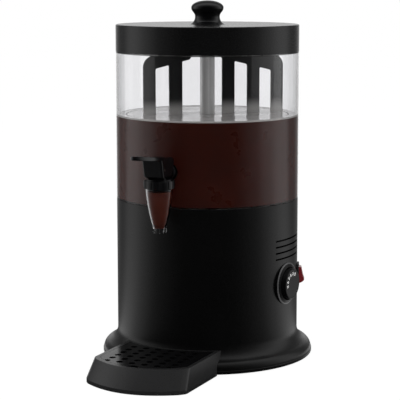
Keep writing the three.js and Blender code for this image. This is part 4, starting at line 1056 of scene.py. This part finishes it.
@dataclass
class Cover(Assembly):
    """The lid and its knob.

    Attributes:
        radius: The lid's radius.
        bottom: The skirt's lower edge.
        top: The lid's top.
        wall: The skirt's thickness.
        edge: The rounding round the top.
        foot: The radius of the knob's foot.
        waist: The radius of its waist.
        head: The radius of its head.
    """

    radius: float = 120.2
    bottom: float = 400.6
    top: float = 435.8
    wall: float = 2.8
    edge: float = 1.6
    foot: float = 23.5
    waist: float = 16.3
    head: float = 21.3

    def build(self) -> None:
        """Turns the lid and the knob."""
        inner, ceiling = self.radius - self.wall, self.top - 2.6
        lid = Workbench.turned("cover", [
            (2.7, ceiling), (inner - 1.6, ceiling), *arc((inner - 1.6, ceiling - 1.6), 1.6, 90, 0, 4)[1:],
            (inner, self.bottom), (self.radius - 0.5, self.bottom),
            *arc((self.radius - 0.5, self.bottom + 0.5), 0.5, -90, 0, 3)[1:],
            *arc((self.radius - self.edge, self.top - self.edge), self.edge, 0, 90, 6), (2.7, self.top),
        ])
        self.finish(lid, COVER_BLACK, Body.LID, "lid")
        base, foot, waist, head = self.top + 0.3, self.foot, self.waist, self.head
        knob = Workbench.turned("cover_knob", [
            (0, base + 15), (2.8, base + 15), (2.8, base),
            *bezier((foot, base), (18.3, base + 2), (waist, base + 4.8), (waist, base + 9.6), 12),
            *bezier((waist, base + 9.6), (waist, base + 15.45), (head, base + 15.45), (head, base + 21.3), 12)[1:],
            *[(head * math.cos(t), base + 21.3 + 9.6 * math.sin(t)) for t in
              (math.pi / 2 * i / 14 for i in range(1, 14))],
            (0, base + 30.9),
        ], ROUND_FACETS, False)
        self.finish(knob, GLOSS_BLACK, Body.LID, "lid_knob")


@dataclass
class Tap(Assembly):
    """The lever tap: body, collar, spout, gasket, pin and lever.

    Attributes:
        y: The tap axis's place along Y.
        collar_bottom: The collar's underside.
        collar_top: The collar's top.
        grooves: The grooves of the collar's grip.
        pin_y: The lever pin's place, from the tap's axis.
        pin_z: The lever pin's height.
        lug: The lug's radius round the pin.
        half: Half the lever's width.
        spout_wall: The spout's thickness.
        shank: The shank's radius.
        bore: Its bore's radius.
        flange: The radius of the flange on it.
        chamber: The valve chamber's radius.
        seat: The valve seat's radius.
        stem: The radius of the plunger stem's hole.
        pin: The lever pin's radius.
        pin_hole: The radius of the pin's holes.
    """

    y: float = -93.0
    collar_bottom: float = 238.0
    collar_top: float = 248.4
    grooves: int = 12
    pin_y: float = -11.0
    pin_z: float = 262.0
    lug: float = 4.5
    half: float = 13.5
    spout_wall: float = 1.9
    shank: float = 6.4
    bore: float = 3.9
    flange: float = 10.0
    chamber: float = 6.5
    seat: float = 3.8
    stem: float = 1.9
    pin: float = 1.8
    pin_hole: float = 2.1

    def cross_rod(self, radius: float, start: float, end: float, name: str = "tool") -> Piece:
        """A round bar along Y through the shank's height.

        Args:
            radius: Its radius.
            start: Its front end, from the tap's axis.
            end: Its rear end, from the tap's axis.
            name: The new object's name.

        Returns:
            The closed bar.
        """
        bar = Workbench.rod(radius, start, end, ROD_FACETS, name=name)
        return Workbench.place(bar, moved(0, self.y, SHANK_HEIGHT) @ turned_by(-90, "X"))

    def pin_rod(self, name: str, radius: float, half: float) -> Piece:
        """A round bar along X at the lever's pin.

        Args:
            name: The new object's name.
            radius: Its radius.
            half: Half its length.

        Returns:
            The closed bar.
        """
        edge = min(0.3, radius / 3)
        bar = Workbench.turned(name, [
            (0, -half), (radius - edge, -half), (radius, edge - half), (radius, half - edge), (radius - edge, half),
            (0, half),
        ], FINE_FACETS, False, 0)
        return Workbench.place(bar, moved(0, self.y + self.pin_y, self.pin_z) @ turned_by(90, "Y"))

    def side_plate(self, name: str, shape: Profile, low: float, high: float) -> Piece:
        """Extrudes a shape in the Y-Z plane along X.

        Args:
            name: The new object's name.
            shape: The corners, with Y from the tap's axis.
            low: Its left face.
            high: Its right face.

        Returns:
            The closed plate.
        """
        return Workbench.extruded(name, [(low, self.y + y, z) for y, z in shape], (high - low, 0, 0))

    def build_body(self) -> None:
        """Joins the plug, barrel, shank and lug, and bores them."""
        shoulder = self.collar_top + 0.3
        valve = Workbench.turned("valve_body", [
            (0, 236), (15, 236), (15, shoulder), (17.4, shoulder), *arc((17, shoulder + 0.6), 0.4, 0, 90, 3),
            (9.5, shoulder + 1), *arc((8.7, 261), 0.8, 0, 90, 4), (0, 261.8),
        ], ROUND_FACETS, False, self.y)
        lean = math.atan(4 / 24) + math.radians(20)
        touch_y, touch_z = self.pin_y - self.lug * math.cos(lean), self.pin_z - self.lug * math.sin(lean)
        lug = self.side_plate("lug", [
            (self.pin_y + self.lug, shoulder),
            *arc((self.pin_y, self.pin_z), self.lug, 0, 180 + math.degrees(lean), 16),
            (touch_y + (touch_z - shoulder) * math.tan(lean), shoulder),
        ], -10.4, 10.4)
        Workbench.combine(
            valve, self.cross_rod(self.shank, 7.5, 36.3), self.cross_rod(self.flange, 20.1, 21.6), lug,
            operation="UNION")
        Workbench.combine(
            valve, Workbench.rod(self.chamber, 238.6, 259.5, ROD_FACETS, self.y),
            Workbench.rod(self.seat, 234, 240, centre_y=self.y), Workbench.rod(self.stem, 257, 264, centre_y=self.y),
            self.cross_rod(self.bore, 0, 38.3), self.pin_rod("pin_bore", self.pin_hole, 12.4))
        self.finish(Workbench.smooth(valve), GLOSS_BLACK, Body.CONTAINER, "tap_body")

    def build_collar(self) -> None:
        """Turns the threaded collar and cuts the grooves of its grip."""
        low, high, circle = self.collar_bottom, self.collar_top, 20.4
        collar = Workbench.turned("grip_collar", [
            (17.7, low), *arc((19.1, low + 0.6), 0.6, -90, 0, 3), *arc((18.5, high - 1.2), 1.2, 0, 90, 5),
            (15.3, high), (15.3, 241.7), (17.7, 241.7),
        ], ROUND_FACETS, centre_y=self.y)
        for angle in (2 * math.pi * index / self.grooves for index in range(self.grooves)):
            groove = Workbench.rod(1.5, low - 1, high + 1, 16)
            spot = moved(circle * math.sin(angle), self.y - circle * math.cos(angle), 0)
            Workbench.combine(collar, Workbench.place(groove, spot))
        self.finish(Workbench.smooth(collar), GLOSS_BLACK, Body.CONTAINER, "tap_collar")

    def build_spout(self) -> None:
        """Turns the clear spout with its waisted outlet, notches it, and lays a film of chocolate in it."""
        low, wall = self.collar_bottom, self.spout_wall
        outside = bezier((9.3, 190), (11.6, 200), (16.6, 217), (17.4, low), 16)[1:]
        spout = Workbench.turned("clear_spout", [
            (8.7 - wall, 182), (8.4, 182), (8.7, 182.3), (8.7, 189.6), (9.3, 190), *outside, (17.4, 241.4),
            (17.4 - wall, 241.4), *[(r - wall, z) for r, z in reversed(outside)], (8.7 - wall, 190),
        ], ROUND_FACETS, centre_y=self.y)
        for turn in (45, 135, 225, 315):
            notch = Workbench.block((-2.5, 2.5), (0, 11), (180, 187.5))
            Workbench.combine(spout, Workbench.place(notch, moved(0, self.y, 0) @ turned_by(turn)))
        self.finish(Workbench.smooth(spout), CLEAR, Body.CONTAINER, "tap_spout")
        inside = [(r - wall - 0.3, z) for r, z in outside if z < 235]
        film = Workbench.turned("spout_chocolate", [
            *[(r - 0.9, z) for r, z in reversed(inside)], (5.7, 190), (5.7, 188), (6.1, 187.7), (6.5, 188), (6.5, 190),
            *inside,
        ], ROUND_FACETS, centre_y=self.y)
        self.finish(film, THIN_CHOCOLATE, Body.CONTAINER)

    def build_fittings(self) -> None:
        """Makes the lever's pin and the gasket at the wall."""
        self.finish(self.pin_rod("pivot_pin", self.pin, 13.2), STEEL, Body.CONTAINER, "lever_pin")
        gasket = self.cross_rod(9.5, 22.0, 26.0, "wall_gasket")
        wall = Workbench.rod(Vessel.radius + 0.3, 240, 270, DRUM_FACETS, AXIS_Y)
        Workbench.combine(gasket, self.cross_rod(SHANK_HOLE, 20, 28), wall)
        self.finish(Workbench.smooth(gasket), RUBBER, Body.CONTAINER, "tap_gasket")

    def build_lever(self) -> None:
        """Makes the hollow cap with its thumb tab, fork and pin hole."""
        cap = self.side_plate(
            "press_lever", [(-16, 252), (9, 252), (16.5, 272), (12.5, 276), (-21.5, 276)], -self.half, self.half)
        Workbench.round_edges(cap, 2.2, 5, 20)
        Workbench.combine(cap, self.side_plate(
            "cavity", [(-13.87, 250), (19, 250), (19, 270), (-17.2, 270)], -10.8, 10.8))
        fork = [(-3, 263.4), (0.5, 263.4), (0.5, 265.3), (-3, 265.3)]
        prongs = [self.side_plate("prong", fork, *sides) for sides in ((-12.2, -2.2), (2.2, 12.2))]
        Workbench.combine(cap, self.tab(), *prongs, operation="UNION")
        Workbench.combine(cap, self.pin_rod("lever_hole", self.pin_hole, 15.5))
        self.finish(Workbench.smooth(cap, 28), GLOSS_BLACK, Body.LEVER, "tap_lever")

    def tab(self) -> Piece:
        """The oval thumb tab, lofted from its underside over its rounded edge into its dish.

        Returns:
            The closed tab.
        """
        half, root, dish_y, dish_x, dish_reach = self.half, -8, -42.8, 11.3, 22.8
        oval = [(-half, root), (-half, -14), (-half, -20),
                *[(-half * math.cos(t), -20 - 50 * math.sin(t)) for t in (math.pi * i / 48 for i in range(1, 48))],
                (half, -20), (half, -14), (half, root), (6, root), (0, root), (-6, root)]
        edge = ((0.7, 0), (0.2, 0.2), (0, 0.7))
        rings = [self.tab_ring(drawn_in(oval, draw), False, lift) for draw, lift in edge]
        rings += [self.tab_ring(drawn_in(oval, draw), True, -drop) for draw, drop in reversed(edge)]
        angles = [math.atan2((y - dish_y) / dish_reach, x / dish_x) for x, y in oval]
        for share, depth in ((1.0, 0.0), (0.95, 0.12), (0.88, 0.6), (0.7, 1.4), (0.45, 1.95), (0.2, 2.2)):
            ring = [(dish_x * share * math.cos(a), dish_y + dish_reach * share * math.sin(a)) for a in angles]
            rings.append(self.tab_ring(ring, True, -depth))
        return Workbench.lofted("tab", rings)

    def tab_ring(self, plan: Profile, upper: bool, lift: float) -> list[Point]:
        """One outline laid on the tab's sloping face.

        Args:
            plan: Its corners, with Y from the tap's axis.
            upper: Whether it lies on the upper face.
            lift: How far above that face it is.

        Returns:
            The corners in the part's frame.
        """
        height, slope, root_slope = (279.3, 0.11, 2.5 / 12) if upper else (274.5, 0.11, 0.11)
        return [(x, self.y + y, height - (y + 20) * (slope if y < -20 else root_slope) + lift) for x, y in plan]

    def build(self) -> None:
        """Builds all the tap's fine pieces."""
        self.build_body()
        self.build_collar()
        self.build_spout()
        self.build_fittings()
        self.build_lever()


@dataclass
class Controls(Assembly):
    """The dial, the rocker switch and the cable gland in the drum's side.

    Attributes:
        drum: The drum's radius.
        dial_azimuth: Where the dial sits, round from the front.
        dial_height: Its centre's height.
        switch_azimuth: Where the switch sits.
        switch_height: Its centre's height.
        gland_azimuth: Where the gland sits.
        gland_height: Its height.
        numbers: What the dial says.
        number_circle: How far they stand from its middle.
        number_start: The first one's angle in degrees.
        number_step: The degrees from one to the next.
        number_size: The figures' height.
        number_bold: How far their outlines are grown.
        number_depth: Half their thickness.
    """

    drum: float = 120.2
    dial_azimuth: float = 83.7
    dial_height: float = 102.7
    switch_azimuth: float = 110.0
    switch_height: float = 104.5
    gland_azimuth: float = 180.0
    gland_height: float = 50.0
    numbers: tuple[str, ...] = ("30", "40", "50", "60", "70", "80")
    number_circle: float = 13.4
    number_start: float = 188.0
    number_step: float = 25.0
    number_size: float = 4.4
    number_bold: float = 0.12
    number_depth: float = 0.06

    def drum_tool(self, height: float, half: float) -> Piece:
        """A drum that trims a fitting's back.

        Args:
            height: Its middle.
            half: Half its height.

        Returns:
            The closed drum.
        """
        return Workbench.rod(self.drum + 0.3, height - half, height + half, DRUM_FACETS * 2, AXIS_Y)

    def build_dial(self) -> None:
        """Makes the dial's ring with a grey band painted as the highlight on its sloped outer edge, and the numbered
        knob.
        """
        back, face, edge = self.drum - 6, self.drum + 3.2, self.drum + 0.5
        place = on_drum(self.dial_azimuth, self.dial_height)
        ring = Workbench.turned("dial_ring", [
            (21.4, back), (27.5, back), *arc((27, edge - 0.5), 0.5, 0, 60, 3), (24.4, edge + 1.3), (22, face),
            (21.4, face - 0.6),
        ], ROUND_FACETS, True, 0)
        # The band's grey is a painted highlight on the ring's outer slope.
        band = Workbench.turned("dial_highlight_band", [
            (27.1, edge - 0.1), (27.3, edge + 0.1), (25.4, edge + 0.98), (25.3, edge + 0.7),
        ], ROUND_FACETS, True, 0)
        self.finish(Workbench.place(band, place), PAINTED_HIGHLIGHT_GREY, Body.BASE)
        Workbench.combine(Workbench.place(ring, place), self.drum_tool(self.dial_height, 30))
        self.finish(Workbench.smooth(ring), DIAL_BLACK, Body.BASE, "dial_bezel")
        low, high = self.drum + 0.9, self.drum + 8.8
        knob = Workbench.turned("temperature_knob", [
            (0, low), (20.4, low), (20.8, low + 0.4), *arc((18.4, high - 1.2), 1.2, 4, 90, 6), (17.4, high - 0.2),
            (0, high - 0.2),
        ], ROUND_FACETS, False, 0)
        Workbench.combine(knob, Workbench.rod(3.3, low - 2, low + 6.4))
        Workbench.place(knob, place)
        self.finish(Workbench.smooth(knob), DIAL_BLACK, Body.DIAL, "dial_knob")
        self.build_numbers(high - 0.2, place)

    def build_numbers(self, face: float, place: Matrix) -> None:
        """Sets the temperatures round the knob's face.

        Args:
            face: The face's distance from the drum's axis.
            place: Where the dial sits.
        """
        circle, numbers = self.number_circle, []
        for index, text in enumerate(self.numbers):
            Workbench.clear_selection()
            bpy.ops.object.text_add(location=(0, 0, 0))
            number = bpy.context.object
            number.data.body = text
            number.data.size = self.number_size * MM
            number.data.offset = self.number_bold * MM
            number.data.extrude = self.number_depth * MM
            number.data.align_x = number.data.align_y = "CENTER"
            bpy.ops.object.convert(target="MESH")
            angle = math.radians(self.number_start - self.number_step * index)
            spot = moved(circle * math.cos(angle), circle * math.sin(angle), face + 0.08)
            numbers.append(Workbench.place(number, spot @ Matrix.Rotation(angle + math.pi, 4, "Z")))
        joined = Workbench.merge_into_one(numbers)
        joined.name = "temperature_numbers"
        self.finish(Workbench.place(joined, place), NUMBER_WHITE, Body.DIAL)

    def build_switch(self) -> None:
        """Makes the switch's frame and its rocker."""
        face, pivot, place = self.drum + 2.4, self.drum + 0.3, on_drum(self.switch_azimuth, self.switch_height)
        corners = [(9, 13.2, 0), (-9, 13.2, 90), (-9, -13.2, 180), (9, -13.2, 270)]
        plan = [point for x, y, start in corners for point in arc((x, y), 2, start, start + 90, 5)]
        rim = Workbench.extruded("switch_rim", [(x, y, self.drum - 4) for x, y in plan], (0, 0, 6.4))
        Workbench.round_edges(rim, 0.6, 3)
        Workbench.combine(Workbench.place(rim, place), self.drum_tool(self.switch_height, 20))
        core = Workbench.place(Workbench.block((-9.4, 9.4), (-13.9, 13.9), (face - 22, face - 0.3)), place)
        well = Workbench.place(Workbench.block((-7.7, 7.7), (-11.8, 11.8), (face - 19, face + 2)), place)
        across = place @ moved(0, 0, pivot) @ turned_by(90, "Y")
        seat = Workbench.place(Workbench.rod(1.8, -8.8, 8.8, PIN_FACETS), across)
        Workbench.combine(rim, core, operation="UNION")
        Workbench.combine(rim, well, seat)
        self.finish(Workbench.smooth(rim), MATT_BLACK, Body.BASE, "switch_frame")
        self.build_rocker(place @ moved(0, 0, pivot))

    def build_rocker(self, place: Matrix) -> None:
        """Makes the red rocker, whose ends are arcs about its pivot.

        Args:
            place: Where its pivot sits.
        """
        radius, low, high, back = 11.4, -35.0, 62.0, 104.0
        shape = [
            swung(radius, low), (0, 7.2), swung(radius, high),
            *[swung(radius, high + (back - high) * i / 6) for i in range(1, 7)],
            *[swung(radius, -back + (low + back) * i / 10) for i in range(10)],
        ]
        rocker = Workbench.extruded("rocker_cap", [(-7.4, y, z) for y, z in shape], (14.8, 0, 0))
        Workbench.round_edges(rocker, 0.5, 3, 25)
        pin = Workbench.place(Workbench.rod(1.5, -8.2, 8.2, PIN_FACETS), turned_by(90, "Y"))
        Workbench.combine(rocker, pin, operation="UNION")
        self.finish(Workbench.smooth(Workbench.place(rocker, place)), ROCKER_RED, Body.ROCKER, "switch_rocker")

    def build_gland(self) -> None:
        """Turns the cable gland at the back."""
        wall = self.drum + 0.3
        tip = wall + 9
        gland = Workbench.turned("back_gland", [
            (3.4, 108.1), (6.5, 108.1), (6.5, wall), (10, wall), *arc((9.4, wall + 2.4), 0.6, 0, 90, 3),
            *bezier((7.5, wall + 3), (7.5, wall + 6), (7.2, tip), (5.6, tip), 6), (3.8, tip), (3.4, wall + 8.6),
        ], ROD_FACETS, True, 0)
        Workbench.place(gland, on_drum(self.gland_azimuth, self.gland_height))
        self.finish(Workbench.smooth(gland), MATT_BLACK, Body.BASE, "cable_gland")

    def build(self) -> None:
        """Builds all that sits in the drum's side."""
        self.build_dial()
        self.build_switch()
        self.build_gland()


def swung(radius: float, angle: float) -> Pair:
    """How far up and out a point lies at a distance from a pivot, at an angle in degrees from straight out."""
    return radius * math.sin(math.radians(angle)), radius * math.cos(math.radians(angle))


@dataclass
class Tray(Assembly):
    """The drip tray and its grid.

    Attributes:
        top: The rim's height.
        lip: The height of the upright lip at the foot.
        top_plan: Half width, corner and apex of the rim's outline.
        bottom_plan: The same of the foot's outline.
        rim: The rim's width round the grid.
        back: The tray's back, from the machine's axis.
        across: The holes' spacing across.
        columns: Holes across.
        rows: Holes from back to front.
        hole: The holes' radius.
        rear: The rear row's distance from the machine's axis.
        front: The front row's.
        notch: The finger notch's radius.
    """

    top: float = 28.0
    lip: float = 5.0
    top_plan: Point = (65.5, 199.0, 226.0)
    bottom_plan: Point = (69.0, 215.0, 242.0)
    rim: float = 5.0
    back: float = 96.4
    across: float = 17.3
    columns: int = 6
    rows: int = 6
    hole: float = 4.3
    rear: float = 131.8
    front: float = 204.5
    notch: float = 8.0

    def outline(self, plan: Point, draw: float, steps: int = 28) -> Profile:
        """The plan with a bowed front and rounded corners.

        Args:
            plan: Half width, corner and apex.
            draw: How far it is drawn in.
            steps: The chords along the bow.

        Returns:
            The corners in the part's frame.
        """
        half, corner, apex = (size - draw for size in plan)
        rounding = 6 / half

        def bow(share: float) -> float:
            """The bow's place along Y at a share of the half width."""
            return AXIS_Y - (corner + (apex - corner) * (1 - share * share))

        left = bezier((-half, AXIS_Y + 6 - corner), (-half, bow(1) + 1.5), (-half * (1 - rounding / 2), bow(1) - 0.3),
                      (-half * (1 - rounding), bow(1 - rounding)), 6)
        front = [(half * share, bow(share)) for share in
                 ((1 - rounding) * (-1 + 2 * i / steps) for i in range(1, steps))]
        right = [(-x, y) for x, y in reversed(left)]
        return [(-half, AXIS_Y - self.back), *left, *front, *right, (half, AXIS_Y - self.back)]

    def lofted(self, name: str, *rings: tuple[Profile, float]) -> Piece:
        """Lofts level outlines.

        Args:
            name: The new object's name.
            *rings: Each outline with its height, lowest first.

        Returns:
            The closed solid.
        """
        return Workbench.lofted(name, [[(x, y, z) for x, y in ring] for ring, z in rings])

    def flare_tool(self, clearance: float) -> Piece:
        """The base's foot, grown by a clearance, as a closed cutter.

        Args:
            clearance: How far it is grown.

        Returns:
            The closed cutter.
        """
        house = Housing()
        rim, side = house.rim + clearance, house.radius + clearance
        profile = [(0, -2), (rim, -2), (rim, 5.5), *house.flare(-clearance)[1:], (side, 40), (0, 40)]
        return Workbench.turned("foot_tool", profile, DRUM_FACETS, False)

    def build_tray(self) -> None:
        """Lofts the tray, cuts its back to the base's flare and hollows it."""
        foot, rim = self.outline(self.bottom_plan, 0), self.outline(self.top_plan, 0)
        tray = self.lofted("tray", (foot, 0), (foot, self.lip), (rim, self.top))
        Workbench.combine(tray, self.flare_tool(0.5))
        recess = self.outline(self.top_plan, self.rim)
        recess_tool = self.lofted("recess", (recess, self.top - 3.3), (recess, self.top + 2))
        mouth = self.outline(self.top_plan, self.rim + 3.5)
        basin = self.lofted("basin", (mouth, 3), (mouth, self.top))
        for tool in (recess_tool, basin):
            Workbench.combine(tray, Workbench.combine(tool, self.flare_tool(3.1)))
        Workbench.round_edges(tray, 0.7, 3, 25)
        self.finish(tray, TRAY_BLACK, Body.TRAY, "drip_tray")

    def build_grid(self) -> None:
        """Lofts the grid's plate and drills its holes and the finger notch."""
        low, edge = self.top - 3, self.outline(self.top_plan, self.rim + 0.3)
        grid = self.lofted("grid", (edge, low), (edge, self.top))
        Workbench.combine(grid, self.flare_tool(3.4))
        pitch = (self.front - self.rear) / (self.rows - 1)
        hole = Workbench.rod(self.hole, low - 2, self.top + 2)
        spots = [
            ((column - (self.columns - 1) / 2) * self.across, AXIS_Y - self.rear - row * pitch, 0)
            for row in range(self.rows) for column in range(self.columns)
        ]
        holes = [Workbench.twin(hole, "hole", spot) for spot in spots]
        bpy.data.objects.remove(hole)
        notch = Workbench.rod(self.notch, low - 2, self.top + 2, 64, AXIS_Y - self.top_plan[2] + self.rim)
        Workbench.combine(grid, Workbench.merge_into_one(holes), notch)
        Workbench.round_edges(grid, 1.2, 4, 35)
        self.finish(grid, GRID_BLACK, Body.GRID, "drip_grid")

    def build(self) -> None:
        """Builds the tray and its grid."""
        self.build_tray()
        self.build_grid()


@dataclass
class Studio:
    """The camera, the lamps, the white surroundings and the floor.

    Attributes:
        azimuth: The camera's turn round the machine in degrees.
        distance: Its distance from the machine's axis in metres.
        height: Its height in metres.
        pitch: How far it looks down, in radians.
        lens: Its focal length in millimetres on a 36 mm sensor.
        shift: Its sideways shift.
        fill: The surroundings' plain brightness, which lights all sides alike.
        mirrored: How bright gloss shows the surroundings, by how far a direction points away from the camera.
        refracted: The same for clear walls.
        lamps: Each softbox's turn from the camera, distance, height, width and height in metres, and watts.
    """

    mirrored: ClassVar[tuple[Pair, ...]] = (
        (-0.9, 0.005), (-0.5, 0.13), (-0.2, 0.45), (0.15, 0.75), (0.35, 0.65), (0.6, 0.16), (0.75, 0.12), (0.9, 0.25),
        (0.99, 1))
    refracted: ClassVar[tuple[Pair, ...]] = ((0.1, 0.02), (0.8, 0.45), (0.96, 0.8), (0.995, 1))
    lamps: ClassVar[dict[str, tuple[float, float, float, float, float, float]]] = {
        "left_softbox": (-115, 1.6, 0.45, 0.6, 1.5, 1.5),
        "left_screen": (-96, 1.7, 0.5, 1.9, 1.7, 4.6),
        "right_softbox": (96, 1.6, 0.45, 0.4, 1.5, 1.2),
        "right_screen": (80, 1.7, 0.5, 1.6, 1.7, 4.2),
        "top_softbox": (0, 0.5, 2.2, 1.6, 1.6, 12),
    }

    azimuth: float = 24.5
    distance: float = 1.9378
    height: float = 0.49839
    pitch: float = 0.15133
    lens: float = 132.38
    shift: float = -0.01852
    fill: float = 0.5

    def around(self, azimuth: float, distance: float, height: float) -> Vector:
        """A place round the machine.

        Args:
            azimuth: Degrees from the front towards the right.
            distance: How far from the axis.
            height: How high.

        Returns:
            The place in metres.
        """
        turn = math.radians(azimuth)
        return Vector((math.sin(turn) * distance, AXIS_Y * MM - math.cos(turn) * distance, height))

    def add_camera(self) -> None:
        """Places the fitted camera."""
        camera = bpy.data.cameras.new("camera")
        camera.sensor_width = 36
        camera.lens = self.lens
        camera.shift_x = self.shift
        holder = bpy.data.objects.new("camera", camera)
        holder.location = self.around(self.azimuth, self.distance, self.height)
        holder.rotation_euler = (math.pi / 2 - self.pitch, 0, math.radians(self.azimuth))
        bpy.context.scene.collection.objects.link(holder)
        bpy.context.scene.camera = holder
        bpy.context.scene.view_settings.view_transform = "Standard"

    def add_lamps(self) -> None:
        """Hangs the softboxes that face the machine's middle; gloss shows the soft surroundings in their stead."""
        for name, (turn, distance, height, width, tall, power) in self.lamps.items():
            lamp = bpy.data.lights.new(name, "AREA")
            lamp.shape = "RECTANGLE"
            lamp.size, lamp.size_y = width, tall
            lamp.energy = power
            holder = bpy.data.objects.new(name, lamp)
            holder.visible_glossy = False
            holder.location = self.around(self.azimuth + turn, distance, height)
            aim = Vector((0, AXIS_Y * MM, 0.24)) - holder.location
            holder.rotation_euler = aim.to_track_quat("-Z", "Y").to_euler()
            bpy.context.scene.collection.objects.link(holder)

    def add_world(self) -> None:
        """Surrounds the machine with white that gloss and clear walls see only beyond it, as from a lit backdrop."""
        world = bpy.data.worlds.new("studio")
        world.use_nodes = True
        bpy.context.scene.world = world
        tree = world.node_tree
        plain = tree.nodes["Background"]
        feed(tree, plain, {"Color": (self.fill, self.fill, self.fill, 1)})
        way = add_node(tree, "TexCoord").outputs["Generated"]
        shown = self.by_ray(tree, plain.outputs["Background"], "Background", way, 1.0, 1.0)
        feed(tree, tree.nodes["World Output"], {"Surface": shown})

    def by_ray(self, tree: Tree, plain: Socket, kind: str, way: Socket, glow: float, seen: float) -> Socket:
        """Picks a shader by the kind of ray: what has bounced off a matt surface always meets the plain one.

        Args:
            tree: The nodes.
            plain: The shader for matt surfaces.
            kind: Background or Emission, for the other rays.
            way: The direction from the machine.
            glow: How strongly the white glows that the camera sees.
            seen: That white's share.

        Returns:
            The mixed shader.
        """
        turn = math.radians(self.azimuth)
        facing = add_node(
            tree, "VectorMath", {0: way, 1: (-math.sin(turn), math.cos(turn), 0)}, operation="DOT_PRODUCT")
        share = add_node(tree, "MapRange", {"From Min": -1.0, "Value": facing.outputs["Value"]}).outputs["Result"]
        path = add_node(tree, "LightPath").outputs
        fresh = add_node(tree, "Math", {0: path["Diffuse Depth"], 1: 0.5}, operation="LESS_THAN").outputs["Value"]
        lights = (
            ("Is Glossy Ray", self.ramp(tree, share, self.mirrored), 1.0, fresh),
            ("Is Transmission Ray", self.ramp(tree, share, self.refracted), 1.0, fresh),
            ("Is Camera Ray", (1, 1, 1, 1), glow, seen))
        shown = plain
        for ray, colour, strength, amount in lights:
            light = add_node(tree, kind, {"Color": colour, "Strength": strength})
            part = add_node(tree, "Math", {0: path[ray], 1: amount}, operation="MULTIPLY")
            mix = add_node(tree, "MixShader", {"Fac": part.outputs["Value"], 1: shown, 2: light.outputs[0]})
            shown = mix.outputs["Shader"]
        return shown

    @staticmethod
    def ramp(tree: Tree, share: Socket, stops: Sequence[Pair]) -> Socket:
        """Turns a direction into a brightness.

        Args:
            tree: The nodes.
            share: How far the direction points away from the camera, from 0 to 1.
            stops: The same from -1 to 1, with the brightness there, in rising order.

        Returns:
            The brightness.
        """
        ramp = add_node(tree, "ValToRGB", {"Fac": share})
        ramp.color_ramp.interpolation = "EASE"
        elements = ramp.color_ramp.elements
        elements[0].position, elements[1].position = (stops[0][0] + 1) / 2, (stops[-1][0] + 1) / 2
        for value, _ in stops[1:-1]:
            elements.new((value + 1) / 2)
        for element, (_, brightness) in zip(elements, stops):
            element.color = (brightness, brightness, brightness, 1)
        return ramp.outputs["Color"]

    def add_floor(self) -> None:
        """Lays a white floor that keeps a faint shadow."""
        Workbench.clear_selection()
        bpy.ops.mesh.primitive_plane_add(size=12, location=(0, 0, -0.0002))
        floor = bpy.context.object
        floor.name = "floor"
        material = bpy.data.materials.new("floor_white")
        material.use_nodes = True
        tree = material.node_tree
        shader = tree.nodes["Principled BSDF"]
        feed(tree, shader, {"Base Color": (0.95, 0.95, 0.95, 1), "Roughness": 0.9})
        place = add_node(tree, "TexCoord").outputs["Object"]
        outward = add_node(tree, "VectorMath", {0: place, 1: (0, AXIS_Y * MM, 0)}, operation="SUBTRACT")
        way = add_node(tree, "VectorMath", {0: outward.outputs["Vector"]}, operation="NORMALIZE").outputs["Vector"]
        shown = self.by_ray(tree, shader.outputs["BSDF"], "Emission", way, 1.06, 0.9)
        feed(tree, tree.nodes["Material Output"], {"Surface": shown})
        floor.data.materials.append(material)

    def build(self) -> None:
        """Sets up everything round the machine."""
        self.add_lamps()
        self.add_world()
        self.add_floor()


def dress_frame() -> None:
    """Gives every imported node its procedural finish."""
    for finish, names in NODE_FINISHES.items():
        for name in names:
            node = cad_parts[name]
            node.data.materials.clear()
            node.data.materials.append(finish.material())


def main() -> None:
    """Builds the machine in order, then the studio round it."""
    logging.basicConfig(level=logging.INFO, format="%(name)s: %(message)s")
    studio = Studio()
    studio.add_camera()
    dress_frame()
    for assembly in (Housing(), Vessel(), Stirrer(), Cover(), Tap(), Controls(), Tray()):
        log.info("building %s", type(assembly).__name__)
        assembly.build()
    studio.build()


if __name__ == "__main__":
    main()
